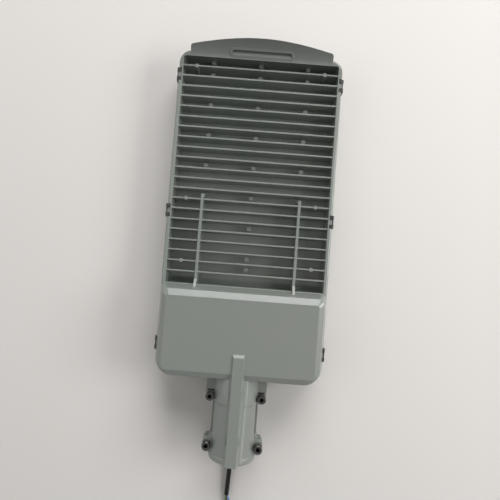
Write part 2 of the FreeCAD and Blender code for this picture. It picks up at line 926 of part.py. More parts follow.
def bottom_frame():
    """The lower casting: a frame round the glass and a closed tray under the box."""
    solid = slab(frame_half, y_frame_rear, y_frame_front, rear_corner - frame_inset,
                 front_corner - frame_inset, 0, frame_height)
    solid = solid.makeFillet(frame_edge_round, edges_between(solid, lambda p: near(p.z, 0)))
    corner = front_corner - front_wall
    tools = [
        slab(cavity_half, y_led_rear, y_led_front, cavity_round, corner, z_tab, frame_height + 1),
        slab(glass_half + glass_gap, y_glass_rear - glass_gap, y_glass_front + glass_gap,
             glass_corner + glass_gap, glass_corner + glass_gap, frame_lip, frame_height),
        slab(window_half, y_window_rear, y_window_front, glass_corner, glass_corner, -1, frame_height),
        slab(cavity_half, y_gear_rear, y_gear_front, rear_corner - rear_wall, cavity_round,
             tray_floor, frame_height + 1),
    ]
    tools += both_sides([clip_groove(y) for y in clip_places()])
    solid = solid.cut(tools)
    posts = [rod_z(x, y, gear_post_radius, tray_floor - root_bite, z_gear) for x, y in gear_post_places()]
    solid = solid.fuse(posts + tray_ribs())
    holes = [rod_z(x, y, gear_screw_radius + thread_clearance, z_gear - gear_screw_depth, z_gear + 1)
             for x, y in gear_post_places()]
    holes += [rod_z(x, y, tab_screw_radius + thread_clearance, z_tab - tab_screw_depth, z_tab + 1)
              for x, y in tab_places()]
    return solid.cut(holes).removeSplitter()


def tray_ribs():
    """Stiffening ribs across the floor of the tray."""
    pitch = (y_gear_front - y_gear_rear) / (tray_rib_count + 1)
    ribs = []
    for number in range(1, tray_rib_count + 1):
        y = y_gear_rear + pitch * number
        ribs.append(block(-cavity_half - root_bite, cavity_half + root_bite, y - tray_rib_width / 2,
                          y + tray_rib_width / 2, tray_floor - root_bite, tray_floor + tray_rib_height))
    return ribs


def seal_ring(half, y_back, y_ahead, back_radius, ahead_radius, width, z0, z1):
    """A flat closed ring of even width."""
    outer = slab(half, y_back, y_ahead, back_radius, ahead_radius, z0, z1)
    inner_back = max(back_radius - width, seal_least_corner)
    inner_ahead = max(ahead_radius - width, seal_least_corner)
    inner = slab(half - width, y_back + width, y_ahead - width, inner_back, inner_ahead, z0 - 1, z1 + 1)
    return outer.cut(inner)


def frame_gasket():
    """The seal between housing and frame, with a bar across under the partition."""
    half = frame_half - seal_inset
    ring = seal_ring(half, y_frame_rear + seal_inset, y_frame_front - seal_inset, rear_corner - seal_inset,
                     front_corner - seal_inset, seal_width, frame_height, z_housing)
    y_bar = (y_gear_front + y_led_rear - seal_width) / 2
    bar_half = half - seal_width / 2
    bar = block(-bar_half, bar_half, y_bar, y_bar + seal_width, frame_height, z_housing)
    return ring.fuse(bar).removeSplitter()


def cover_glass():
    return slab(glass_half, y_glass_rear, y_glass_front, glass_corner, glass_corner, z_glass, z_tab)


def glass_gasket():
    return seal_ring(glass_half, y_glass_rear, y_glass_front, glass_corner, glass_corner, glass_lip_width,
                     frame_lip, z_glass)


def tab_rows():
    """The glass tabs' places along each side."""
    pitch = (y_glass_front - y_glass_rear) / tabs_per_side
    return [y_glass_rear + pitch * (number + 0.5) for number in range(tabs_per_side)]


def tab_places():
    """The screw of each glass tab, on the ledge beside the glass."""
    x = (glass_half + glass_gap + cavity_half) / 2
    return [(side * x, y) for side in (-1, 1) for y in tab_rows()]


def glass_clamps():
    solids = []
    z1 = z_tab + tab_thickness
    for x, y in tab_places():
        side = math.copysign(1, x)
        inner = side * (glass_half - tab_overlap)
        outer = inner + side * tab_length
        tab = block(min(inner, outer), max(inner, outer), y - tab_width / 2, y + tab_width / 2, z_tab, z1)
        solids.append(tab.cut(rod_z(x, y, tab_screw_radius + bolt_clearance, z_tab - 1, z1 + 1)))
    return solids


def pan_screw(x, y, z_seat, radius, head_radius, head_height, depth, way):
    """A pan-head screw: its head stands on z_seat and its shank goes the other way."""
    if way > 0:
        return rod_z(x, y, head_radius, z_seat, z_seat + head_height).fuse(
            rod_z(x, y, radius, z_seat - depth, z_seat)).removeSplitter()
    return rod_z(x, y, head_radius, z_seat - head_height, z_seat).fuse(
        rod_z(x, y, radius, z_seat, z_seat + depth)).removeSplitter()


def glass_clamp_screws():
    seat = z_tab + tab_thickness
    return [pan_screw(x, y, seat, tab_screw_radius, tab_screw_head_radius, tab_screw_head_height,
                      tab_thickness + tab_screw_depth - thread_clearance, 1) for x, y in tab_places()]


def led_board():
    """The metal circuit board under the finned floor, with a hole at each boss."""
    z0 = z_board - board_thickness
    board = slab(board_half_width, y_led_rear + board_end_margin, y_led_front - board_end_margin,
                 cavity_round, cavity_round, z0, z_board)
    hole = board_screw_radius + thread_clearance
    return board.cut([rod_z(x, y, hole, z0 - 1, z_board + 1) for x, y in boss_places()])


def plate_places():
    """The middle, the half width and the half length of each lens plate, between the rows of screws."""
    rows = boss_rows()
    half_x = boss_column_pitch / 2 - plate_gap / 2
    return [(side * boss_column_pitch / 2, (ahead + back) / 2, half_x, (ahead - back) / 2 - plate_gap / 2)
            for ahead, back in zip(rows, rows[1:]) for side in (-1, 1)]


def lens_places(x, y, half_x, half_y):
    """The middle of each lens on one plate."""
    step_x = 2 * half_x / lenses_across
    step_y = 2 * half_y / lenses_along
    return [(x - half_x + step_x * (column + 0.5), y - half_y + step_y * (row + 0.5))
            for column in range(lenses_across) for row in range(lenses_along)]


def lens(x, y, low):
    """One lens, let into the underside of its plate."""
    return Part.makeCone(lens_radius, lens_tip_radius, lens_height, vec(x, y, low + root_bite), vec(0, 0, -1))


def lens_plates():
    """Clear plates that stand on the board on their skirts, with a lens under each emitter."""
    top = z_board - board_thickness
    low = top - plate_height
    notch = board_screw_head_radius + plate_gap / 2
    solids = []
    for x, y, half_x, half_y in plate_places():
        plate = block(x - half_x, x + half_x, y - half_y, y + half_y, low, top)
        plate = plate.fuse([lens(*place, low) for place in lens_places(x, y, half_x, half_y)])
        room_x, room_y = half_x - plate_skirt, half_y - plate_skirt
        tools = [block(x - room_x, x + room_x, y - room_y, y + room_y, low + plate_skin, top + 1)]
        for screw_x, screw_y in boss_places():
            if abs(screw_x - x) < half_x + notch and abs(screw_y - y) < half_y + notch:
                tools.append(rod_z(screw_x, screw_y, notch, low - lens_height, top + 1))
        solids.append(plate.cut(tools).removeSplitter())
    return solids


def led_emitters():
    top = z_board - board_thickness
    half = emitter_side / 2
    return [block(x - half, x + half, y - half, y + half, top - emitter_height, top)
            for plate in plate_places() for x, y in lens_places(*plate)]


def board_screws():
    return [pan_screw(x, y, z_board - board_thickness, board_screw_radius, board_screw_head_radius,
                      board_screw_head_height, board_screw_depth, -1) for x, y in boss_places()]


def partition_grommet():
    """A rubber sleeve for the leads between the two compartments."""
    body = grommet_hole(y_gear_front, y_led_rear).common(
        block(-grommet_half_width, grommet_half_width, y_gear_front, y_led_rear,
              z_housing, z_housing + grommet_height))
    z = z_housing + grommet_height / 2
    holes = [rod_y(side * grommet_half_width / 2, z, lead_hole_radius, y_gear_front - 1, y_led_rear + 1)
             for side in (-1, 1)]
    return body.cut(holes)


def gear_post_places():
    x = cavity_half - gear_post_inset
    rows = (y_gear_rear + gear_post_inset, y_gear_front - gear_post_inset)
    return [(side * x, y) for side in (-1, 1) for y in rows]


def driver_span():
    """The rear and front faces of the driver."""
    y1 = y_gear_front - driver_from_front
    return y1 - driver_width, y1


def driver_screw_places():
    y0, y1 = driver_span()
    x = driver_length / 2 + driver_foot / 2
    return [(side * x, (y0 + y1) / 2) for side in (-1, 1)]


def gear_tray():
    """A steel plate with its long edges folded up."""
    half = cavity_half - gear_tray_margin
    y0, y1 = y_gear_rear + gear_tray_margin, y_gear_front - gear_tray_margin
    corner = rear_corner - rear_wall - gear_tray_margin
    plate = slab(half, y0, y1, corner, gear_tray_margin, z_gear, z_gear_face)
    side = half - corner
    front = block(-half + gear_tray_margin, half - gear_tray_margin, y1 - gear_tray_thickness, y1,
                  z_gear, z_gear + gear_tray_flange)
    rear = block(-side, side, y0, y0 + gear_tray_thickness, z_gear, z_gear + gear_tray_flange)
    notch = block(-terminal_half_width - gear_tray_margin, terminal_half_width + gear_tray_margin,
                  y0 - 1, y0 + gear_tray_thickness, z_gear_face, z_gear + 2 * gear_tray_flange)
    plate = plate.fuse([front, rear.cut(notch)])
    holes = [rod_z(x, y, gear_screw_radius + bolt_clearance, z_gear - 1, z_gear_face + 1)
             for x, y in gear_post_places()]
    holes += [rod_z(x, y, driver_screw_radius + thread_clearance, z_gear - 1, z_gear_face + 1)
              for x, y in driver_screw_places()]
    return plate.cut(holes).removeSplitter()


def gear_screws():
    return [pan_screw(x, y, z_gear_face, gear_screw_radius, gear_screw_head_radius, gear_screw_head_height,
                      gear_tray_thickness + gear_screw_depth - thread_clearance, 1)
            for x, y in gear_post_places()]


def led_driver():
    """The sealed driver, with a mounting foot at each end."""
    y0, y1 = driver_span()
    half = driver_length / 2
    top = z_gear_face + driver_height
    case = block(-half, half, y0, y1, z_gear_face, top)
    case = case.makeFillet(driver_round, edges_between(case, lambda p: near(p.z, top)))
    feet = block(-half - driver_foot, half + driver_foot, y0 + driver_foot, y1 - driver_foot,
                 z_gear_face, z_gear_face + driver_foot_thickness)
    holes = [rod_z(x, y, driver_screw_radius + bolt_clearance, z_gear_face - 1, z_gear_face + driver_foot)
             for x, y in driver_screw_places()]
    return case.fuse(feet).cut(holes).removeSplitter()


def driver_screws():
    seat = z_gear_face + driver_foot_thickness
    depth = driver_foot_thickness + gear_tray_thickness
    return [pan_screw(x, y, seat, driver_screw_radius, driver_screw_head_radius,
                      driver_screw_head_height, depth, 1)
            for x, y in driver_screw_places()]


def gear_row():
    """The line along which the surge protector and the earth screw stand, behind the driver."""
    return (driver_span()[0] + y_gear_rear + gear_tray_margin) / 2


def surge_protector():
    x, y = surge_offset, gear_row()
    top = z_gear_face + surge_height
    body = block(x - surge_length / 2, x + surge_length / 2, y - surge_width / 2, y + surge_width / 2,
                 z_gear_face, top)
    return body.makeFillet(surge_round, edges_between(body, lambda p: near(p.z, top)))


def terminal_block():
    """The mains terminals: the cable's sheath ends at their rear face."""
    y0 = y_gear_rear + terminal_from_rear
    y1 = y0 + terminal_depth
    top = z_gear_face + terminal_height
    body = block(-terminal_half_width, terminal_half_width, y0, y1, z_gear_face, top)
    pitch = 2 * terminal_half_width / terminal_ways
    tools = []
    for way in range(terminal_ways):
        x = -terminal_half_width + pitch * (way + 0.5)
        tools.append(rod_z(x, (y0 + y1) / 2, terminal_mouth / 2, top - terminal_mouth, top + 1))
        tools.append(rod_y(x, (z_gear_face + top) / 2, terminal_mouth / 2, y1 - terminal_mouth, y1 + 1))
    return body.cut(tools)


def earth_screw():
    """The earth stud on the tray, with its clamping nut."""
    x, y = earth_offset, gear_row()
    nut = hexagon(x, y, z_gear_face, 2 * gear_screw_head_radius, gear_screw_head_height, vec(0, 0, 1))
    stud = rod_z(x, y, gear_screw_radius, z_gear_face, z_gear_face + earth_post_height)
    return nut.fuse(stud).removeSplitter()


def cable_gland():
    """The gland in the rear wall: thread inside, hexagon and round cap outside."""
    y_hex = y_rear - gland_hex_length
    y_cap = y_hex - gland_dome_length
    body = hexagon(0, y_rear, gland_height, gland_hex_flats, gland_hex_length, vec(0, -1, 0))
    cap = Part.makeCone(gland_mouth_radius, gland_dome_radius, gland_dome_length,
                        vec(0, y_cap, gland_height), vec(0, 1, 0))
    body = body.fuse([cap, rod_y(0, gland_height, gland_thread_radius, y_rear, y_rear + gland_thread_length)])
    bore = rod_y(0, gland_height, cable_radius + gland_clearance, y_cap - 1, y_rear + gland_thread_length + 1)
    return body.cut(bore).removeSplitter()


def gland_nut():
    nut = hexagon(0, y_gear_rear, gland_height, gland_nut_flats, gland_nut_length, vec(0, 1, 0))
    return nut.cut(rod_y(0, gland_height, gland_thread_radius + thread_clearance, y_gear_rear - 1,
                         y_gear_rear + gland_nut_length + 1))


def tube(route, radius, name):
    """A round cord along straight runs joined by tangent arcs, each as large as its two runs allow."""
    points = [vec(*place) for place in route]
    edges = []
    radii = []
    start = points[0]
    for before, corner, after in zip(points, points[1:], points[2:]):
        run_in, run_out = corner - before, after - corner
        turn = run_in.getAngle(run_out)
        reach = arc_share * min(run_in.Length, run_out.Length)
        radii.append(reach / math.tan(turn / 2))
        arc_start = corner - run_in.normalize() * reach
        arc_end = corner + run_out.normalize() * reach
        inward = (arc_start + arc_end) * 0.5 - corner
        bulge = radii[-1] / math.cos(turn / 2) - radii[-1]
        edges.append(Part.LineSegment(start, arc_start).toShape())
        edges.append(Part.Arc(arc_start, corner + inward.normalize() * bulge, arc_end).toShape())
        start = arc_end
    edges.append(Part.LineSegment(start, points[-1]).toShape())
    path = Part.Wire(edges)
    ring = Part.Wire([Part.makeCircle(radius, points[0], points[1] - points[0])])
    solid = path.makePipeShell([ring], True, False)
    ratio = solid.Volume / (math.pi * radius ** 2 * path.Length)
    print(name, "length", round(path.Length, 1), "volume ratio", round(ratio, 4),
          "radii", [round(value, 1) for value in radii])
    return solid


def supply_cable():
    return tube(cable_route, cable_radius, "supply_cable")


nodes = {
    "housing": housing,
    "socket_saddle": socket_saddle,
    "clamp_bolts": clamp_bolts,
    "clamp_spring_washers": clamp_spring_washers,
    "clamp_flat_washers": clamp_flat_washers,
    "clamp_nuts": clamp_nuts,
    "side_clips": side_clips,
    "bottom_frame": bottom_frame,
    "frame_gasket": frame_gasket,
    "cover_glass": cover_glass,
    "glass_gasket": glass_gasket,
    "glass_clamps": glass_clamps,
    "glass_clamp_screws": glass_clamp_screws,
    "led_board": led_board,
    "led_emitters": led_emitters,
    "lens_plates": lens_plates,
    "board_screws": board_screws,
    "partition_grommet": partition_grommet,
    "led_driver": led_driver,
    "driver_screws": driver_screws,
    "gear_tray": gear_tray,
    "gear_screws": gear_screws,
    "surge_protector": surge_protector,
    "terminal_block": terminal_block,
    "earth_screw": earth_screw,
    "cable_gland": cable_gland,
    "gland_nut": gland_nut,
    "supply_cable": supply_cable,
}

os.makedirs("parts", exist_ok=True)
for name, make in nodes.items():
    made = make()
    shape = Part.makeCompound(made) if isinstance(made, list) else made
    shape.exportStep("parts/" + name + ".step")
    print(name, len(shape.Solids), "valid" if shape.isValid() else "not valid", round(shape.Volume))
for name, route in core_routes.items():
    tube(route, core_radius, name).exportStep("parts/" + name + ".step")
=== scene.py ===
import math

import bmesh
import bpy
from bpy.props import FloatProperty, FloatVectorProperty, IntProperty, PointerProperty
from mathutils import Matrix, Vector


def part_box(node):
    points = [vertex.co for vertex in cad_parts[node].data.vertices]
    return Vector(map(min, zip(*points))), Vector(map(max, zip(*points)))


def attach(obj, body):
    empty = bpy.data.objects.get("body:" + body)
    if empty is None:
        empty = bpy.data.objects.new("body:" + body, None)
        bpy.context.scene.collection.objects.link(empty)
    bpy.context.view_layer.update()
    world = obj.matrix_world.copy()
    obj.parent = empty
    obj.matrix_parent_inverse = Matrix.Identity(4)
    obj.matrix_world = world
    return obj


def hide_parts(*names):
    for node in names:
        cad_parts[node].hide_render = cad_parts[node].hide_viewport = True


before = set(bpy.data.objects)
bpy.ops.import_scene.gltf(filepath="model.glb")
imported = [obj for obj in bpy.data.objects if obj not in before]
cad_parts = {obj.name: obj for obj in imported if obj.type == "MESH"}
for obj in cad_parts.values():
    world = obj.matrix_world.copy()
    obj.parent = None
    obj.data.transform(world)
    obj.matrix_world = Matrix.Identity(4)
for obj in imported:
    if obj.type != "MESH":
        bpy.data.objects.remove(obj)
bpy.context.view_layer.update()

bl_info = {
    "name": "LED Street Light Head",
    "version": (1, 0, 0),
    "blender": (4, 5, 0),
    "location": "View3D > Sidebar > Lamp Head",
    "description": "Dresses the packed street light head with its finishes, fasteners, cable "
                   "and light",
    "category": "Add Mesh",
}

MM = 0.001
BODY = "root"
WHITE = (1.0, 1.0, 1.0, 1.0)
BLACK = (0.0, 0.0, 0.0, 1.0)
# The near black painted into the screws' hexagon sockets as shade.
SOCKET_SHADE_BLACK = (0.006, 0.006, 0.006, 1.0)

# The angle from which an edge between two faces is sharp, and how near points become one.
SHARP_FROM = math.radians(34)
WELD_WITHIN = 0.002 * MM

# How many waves of each texture lie on a metre of the paint.
DRIFT_WAVES, CLOUD_WAVES, SPECK_WAVES, PEEL_WAVES, GRIT_WAVES = 5.0, 42.0, 900.0, 640.0, 2600.0

# How many waves of a metal's grain lie on a metre along X, Y and Z: few along the rolling.
TURNED_GRAIN = (300, 300, 300)
NUT_GRAIN = (260, 260, 260)
TRAY_GRAIN = (90, 90, 90)
COPPER_GRAIN = (900, 900, 900)
CLIP_GRAIN = (60, 1400, 60)
TAB_GRAIN = (80, 900, 80)
CASE_GRAIN = (40, 700, 40)

# Between these places along the head a painted shade comes over the paint and darkens the front
# peak.
PEAK_SHADE_FROM, PEAK_SHADE_TO = 0.262, 0.306

# Lens plates across and along the head, lenses on a plate, and points round a lens.
PLATE_COLUMNS, PLATE_ROWS = 2, 6
LENSES_ACROSS, LENSES_ALONG = 3, 2
LENS_STEPS = 40
DOME_SHARES = (0.1, 0.25, 0.4, 0.55, 0.7, 0.82, 0.92, 0.98)
PLATE_LIFT = 0.05 * MM
POCKET_RADIUS, POCKET_DEPTH = 4 * MM, 1.3 * MM

# The rays that are shown the plain background, and where the floor goes over into it.
PLAIN_RAYS = ("Is Camera Ray", "Is Glossy Ray", "Is Transmission Ray")
PLAIN_FROM, PLAIN_TO = 0.6, 1.2
FLOOR_REACH = 20.0

# The camera's sensor in millimetres, and the distances between which it sees.
SENSOR_WIDTH = 36.0
SEEN_FROM, SEEN_TO = 0.01, 200.0

# The lamps: name, the stage's value for its strength, width, height and place in metres.
LAMPS = (
    ("key_light", "key", 2.2, 1.5, (0.38, 2.17, 1.38)),
    ("right_light", "fill", 1.2, 1.0, (2.22, 0.30, 1.32)),
    ("left_light", "left", 2.4, 1.6, (-1.93, 0.10, 1.60)),
    ("near_light", "near", 1.7, 0.14, (1.95, -1.05, 1.45)),
)

# The cords' control points in millimetres, from the gland and from the end of the sheath.
CABLE_ROUTE = [
    (0.0, -188.0, 25.0),
    (0.0, -242.5, 25.0),
    (-0.6, -297.0, 14.8),
    (-1.1, -331.0, 11.4),
    (-1.8, -361.0, 5.8),
    (-2.6, -386.0, 3.9),
    (-3.6, -409.0, 3.7),
]
CORE_ROUTES = {
    "core_earth": [
        (-4.9, -409.3, 3.1),
        (-4.9, -413.2, 3.0),
        (-4.5, -417.6, 2.5),
        (-4.3, -423.0, 1.7),
        (-5.0, -429.0, 1.3),
        (-6.3, -435.0, 1.3),
        (-8.4, -440.6, 1.3),
        (-10.9, -445.2, 1.3),
    ],
    "core_neutral": [
        (-2.2, -409.3, 3.1),
        (-1.8, -413.1, 3.0),
        (-0.2, -416.8, 2.6),
        (2.1, -420.3, 1.9),
        (3.9, -424.5, 1.4),
        (4.6, -429.2, 1.3),
        (4.5, -434.2, 1.3),
        (3.7, -439.0, 1.3),
        (2.4, -443.4, 1.3),
    ],
    "core_line": [
        (-3.6, -409.3, 5.4),
        (-3.6, -413.4, 5.4),
        (-3.1, -418.0, 4.9),
        (-2.2, -423.4, 3.6),
        (-1.4, -429.2, 1.9),
        (-0.9, -435.0, 1.3),
        (-1.3, -440.6, 1.3),
        (-2.2, -445.8, 1.3),
    ],
}
CABLE_DIAMETER = 7.2 * MM
CORE_DIAMETER = 2.4 * MM

# The bare strands: six twisted round one, over this length, and sunk into the insulation.
BARE_LENGTH = 3.4 * MM
STRANDS_ROUND = 6
STRAND_RADIUS = 0.22 * MM
STRAND_TWIST = 1.6
STRAND_SUNK = 1.0 * MM


class Term:
    """A shader value that takes part in Python sums."""

    def __init__(self, nodes, socket):
        self.nodes = nodes
        self.socket = socket

    def math(self, operation, *values):
        return self.nodes.add("ShaderNodeMath", {"operation": operation}, dict(enumerate(values)))

    def __add__(self, other):
        return self.math("ADD", self, other)

    def __radd__(self, other):
        return self.math("ADD", other, self)

    def __sub__(self, other):
        return self.math("SUBTRACT", self, other)

    def __rsub__(self, other):
        return self.math("SUBTRACT", other, self)

    def __mul__(self, other):
        return self.math("MULTIPLY", self, other)

    def __rmul__(self, other):
        return self.math("MULTIPLY", other, self)

    def __gt__(self, other):
        return self.math("GREATER_THAN", self, other)

    def __lt__(self, other):
        return self.math("LESS_THAN", self, other)

    def __abs__(self):
        return self.math("ABSOLUTE", self)

    def ramp(self, low, high, start=0.0, end=1.0):
        """This value carried from low..high to start..end and held at both ends."""
        places = {"Value": self, "From Min": low, "From Max": high, "To Min": start, "To Max": end}
        return self.nodes.add("ShaderNodeMapRange", {"clamp": True}, places)


class Nodes:
    """The nodes of a material or of the world, each added by type, settings and values."""

    def __init__(self, tree):
        self.tree = tree

    def add(self, kind, settings=None, places=None, output=0):
        """Adds a node: its settings first, then the values or links of its sockets."""
        node = self.tree.nodes.new(kind)
        for word, value in (settings or {}).items():
            setattr(node, word, value)
        for place, value in (places or {}).items():
            if isinstance(value, Term):
                self.tree.links.new(value.socket, node.inputs[place])
            else:
                node.inputs[place].default_value = value
        return Term(self, node.outputs[output])

    def plain_rays(self):
        """1 for the rays that are shown the plain background, and 0 for all others."""
        camera, glossy, through = [self.add("ShaderNodeLightPath", output=ray)
                                   for ray in PLAIN_RAYS]
        return (camera + glossy + through).ramp(0.0, 1.0)

    def show(self, first, second, share, output):
        """Sends a mix of two shaders to the output of that name."""
        both = self.add("ShaderNodeMixShader", None, {0: share, 1: first, 2: second})
        self.tree.links.new(both.socket, self.tree.nodes[output].inputs["Surface"])


def socket_name(word):
    """A shader socket's name from a word: Specular IOR Level from specular_ior_level."""
    return word.replace("_", " ").title().replace("Ior", "IOR")


class Surface(Nodes):
    """One finish: a Principled material with its constants, to which nodes are added."""

    def __init__(self, name, colour, **constants):
        self.material = bpy.data.materials.new(name)
        self.material.use_nodes = True
        super().__init__(self.material.node_tree)
        self.shader = self.tree.nodes["Principled BSDF"]
        self.shader.inputs["Base Color"].default_value = solid(colour)
        for word, value in constants.items():
            self.shader.inputs[socket_name(word)].default_value = value

    def place(self):
        """The point on the object, in metres."""
        return self.add("ShaderNodeTexCoord", output="Object")

    def part(self, way):
        """The point's place along X, Y or Z, in metres."""
        return self.add("ShaderNodeSeparateXYZ", None, {"Vector": self.place()}, way)

    def stretched(self, x, y, z):
        """The point with each way scaled, so that a texture runs along one of them."""
        return self.add("ShaderNodeMapping", None, {"Vector": self.place(), "Scale": (x, y, z)})

    def noise(self, per_metre, detail=2.0, roughness=0.5, where=None):
        """Cloudy noise with so many waves on a metre."""
        places = {"Vector": where or self.place(), "Scale": per_metre, "Detail": detail,
                  "Roughness": roughness}
        return self.add("ShaderNodeTexNoise", {"noise_dimensions": "3D"}, places)

    def mix(self, share, first, second):
        """A colour between two others."""
        places = {0: share, 6: first, 7: second}
        return self.add("ShaderNodeMix", {"data_type": "RGBA"}, places, 2)

    def rounded(self, radius):
        """The surface direction with its sharp edges rounded off."""
        return self.add("ShaderNodeBevel", {"samples": 6}, {"Radius": radius})

    def edge(self, radius):
        """How far the rounded direction turns from the true one: 0 on a flat, more at an edge."""
        true = self.add("ShaderNodeNewGeometry", output="Normal")
        turn = self.add("ShaderNodeVectorMath", {"operation": "DOT_PRODUCT"},
                        {0: self.rounded(radius), 1: true}, "Value")
        return 1 - turn

    def bump(self, height, strength, depth, normal=None):
        """The surface direction with fine relief, over another direction where one is given."""
        places = {"Height": height, "Strength": strength, "Distance": depth}
        if normal is not None:
            places["Normal"] = normal
        return self.add("ShaderNodeBump", None, places)

    def feed(self, **terms):
        """Links terms to the shader: base_color, roughness, metallic, normal and the like."""
        for word, term in terms.items():
            self.tree.links.new(term.socket, self.shader.inputs[socket_name(word)])
        return self.material


def solid(colour):
    """A colour with full alpha."""
    return (*colour[:3], 1.0)


def shade(colour, factor):
    """A colour made lighter or darker."""
    return solid([min(1.0, part * factor) for part in colour[:3]])


def blend(first, second, share):
    """A colour between two others, worked out before the shader."""
    return solid([a + (b - a) * share for a, b in zip(first[:3], second[:3])])


def srgb(red, green, blue):
    """A colour as it looks on screen, 0 to 255, as the linear values that a shader takes."""
    parts = []
    for part in (red / 255, green / 255, blue / 255):
        parts.append(part / 12.92 if part <= 0.04045 else ((part + 0.055) / 1.055) ** 2.4)
    return tuple(parts)


class LampFinishes(bpy.types.PropertyGroup):
    """Colours and surface values of the finishes."""

    paint: FloatVectorProperty(
        name="Paint", description="Colour of the painted castings",
        subtype="COLOR", size=3, min=0, max=1, default=srgb(127, 133, 127))
    paint_roughness: FloatProperty(
        name="Paint roughness", description="Roughness of the paint",
        subtype="FACTOR", default=0.37, min=0, max=1)
    peel: FloatProperty(
        name="Orange peel", description="Height of the paint's fine waves",
        unit="LENGTH", default=0.00003, min=0, max=0.001, precision=6)
    casting_edge: FloatProperty(
        name="Casting edge", description="Radius of the castings' edges",
        unit="LENGTH", default=0.0009, min=0, max=0.003, precision=5)
    coat: FloatProperty(
        name="Paint coat", description="Weight of the paint's clear top film",
        subtype="FACTOR", default=0.55, min=0, max=1)
    # A painted shade: the front peak's paint is darkened to this share of its colour.
    peak_shade: FloatProperty(
        name="Peak painted shade", description="How light the front peak is beside the rest of the paint",
        subtype="FACTOR", default=0.50, min=0, max=1)
    steel: FloatVectorProperty(
        name="Screw steel", description="Colour of the dark screws and nuts",
        subtype="COLOR", size=3, min=0, max=1, default=srgb(104, 105, 104))
    washer_steel: FloatVectorProperty(
        name="Washer steel", description="Colour of the bright washers",
        subtype="COLOR", size=3, min=0, max=1, default=srgb(150, 149, 146))
    clip_steel: FloatVectorProperty(
        name="Clip steel", description="Colour of the spring clips",
        subtype="COLOR", size=3, min=0, max=1, default=srgb(78, 80, 80))
    sheath: FloatVectorProperty(
        name="Cable sheath", description="Colour of the cable's sheath",
        subtype="COLOR", size=3, min=0, max=1, default=srgb(12, 12, 13))


class LampFasteners(bpy.types.PropertyGroup):
    """Sizes of the fasteners that the frame doesn't give."""

    head: FloatProperty(
        name="Head radius", description="Radius of the screws' round heads",
        unit="LENGTH", default=6.5 * MM, min=0.001, max=0.1)
    key: FloatProperty(
        name="Socket flats", description="Width of the hexagon socket in a head",
        unit="LENGTH", default=6.0 * MM, min=0.001, max=0.1)
    key_depth: FloatProperty(
        name="Socket depth", description="Depth of the hexagon socket",
        unit="LENGTH", default=4.0 * MM, min=0, max=0.1)
    flats: FloatProperty(
        name="Nut flats", description="Width of the nuts across their flats",
        unit="LENGTH", default=13.0 * MM, min=0.001, max=0.1)
    thread_pitch: FloatProperty(
        name="Thread pitch", description="Distance between turns of the thread",
        unit="LENGTH", default=1.25 * MM, min=0.0002, max=0.01, precision=5)
    shank: FloatProperty(
        name="Shank radius", description="Outer radius of the thread",
        unit="LENGTH", default=4.0 * MM, min=0.001, max=0.05)
    sides: IntProperty(
        name="Steps round", description="Steps round a turned face", default=48, min=12, max=200)


class LampLenses(bpy.types.PropertyGroup):
    """Sizes of the lens plates that the frame doesn't give."""

    gap: FloatProperty(
        name="Plate gap", description="Space between two lens plates",
        unit="LENGTH", default=2.0 * MM, min=0, max=0.02)
    dome_radius: FloatProperty(
        name="Dome radius", description="Radius of a lens at its foot",
        unit="LENGTH", default=9.0 * MM, min=0.001, max=0.05)
    dome_height: FloatProperty(
        name="Dome height", description="Height of a lens over its plate",
        unit="LENGTH", default=5.0 * MM, min=0.001, max=0.05)
    notch: FloatProperty(
        name="Screw notch", description="Radius of the notch round a screw head",
        unit="LENGTH", default=4.0 * MM, min=0, max=0.02)


class LampStage(bpy.types.PropertyGroup):
    """The camera's place, the floor and the light."""

    lens: FloatProperty(
        name="Lens", description="Focal length in millimetres", default=28.08, min=1, max=300)
    eye: FloatVectorProperty(
        name="Camera", description="Where the camera stands",
        subtype="TRANSLATION", unit="LENGTH", size=3, default=(5.7 * MM, -24.6 * MM, 664.5 * MM))
    turn: FloatVectorProperty(
        name="Camera turns", subtype="EULER", size=3,
        description="Turns about X, Y and Z that carry the frame into the camera",
        default=(math.radians(-1.98), math.radians(0.05), math.radians(-4.39)))
    floor: FloatVectorProperty(
        name="Floor", description="Colour of the floor and the background",
        subtype="COLOR", size=3, min=0, max=1, default=srgb(227, 223, 219))
    key: FloatProperty(
        name="Key light", description="Watts of the light from beyond the peak",
        default=54.0, min=0, max=1000)
    fill: FloatProperty(
        name="Right light", description="Watts of the light from the right",
        default=34.0, min=0, max=1000)
    left: FloatProperty(
        name="Left light", description="Watts of the light from the left",
        default=13.0, min=0, max=1000)
    near: FloatProperty(
        name="Near light", description="Watts of the narrow light beside the socket",
        default=4.5, min=0, max=1000)
    sky: FloatProperty(
        name="Sky", description="Strength of the even light", default=0.175, min=0, max=10)


def finishes():
    """The finishes' colours and values as they are set in the scene."""
    return bpy.context.scene.lamp_finishes


def dress(node, material):
    """Gives a carried-over node its finish."""
    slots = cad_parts[node].data.materials
    slots.clear()
    slots.append(material)


class Build:
    """Collects rings of points into one mesh."""

    def __init__(self):
        self.vertices = []
        self.faces = []

    def ring(self, points):
        """Adds a ring of points and gives their numbers."""
        start = len(self.vertices)
        self.vertices += points
        return list(range(start, start + len(points)))

    def join(self, first, second):
        """A band of faces between two rings of as many points."""
        count = len(first)
        for number in range(count):
            after = (number + 1) % count
            self.faces.append((first[number], first[after], second[after], second[number]))

    def cap(self, ring):
        """One face that closes a ring."""
        self.faces.append(tuple(ring))

    def stack(self, rings):
        """A wall through rings of points, from the first to the last."""
        made = [self.ring(points) for points in rings]
        for first, second in zip(made, made[1:]):
            self.join(first, second)
        return made

    def rod(self, rings):
        """A wall through rings of points, closed at both ends."""
        made = self.stack(rings)
        self.cap(made[0])
        self.cap(made[-1])


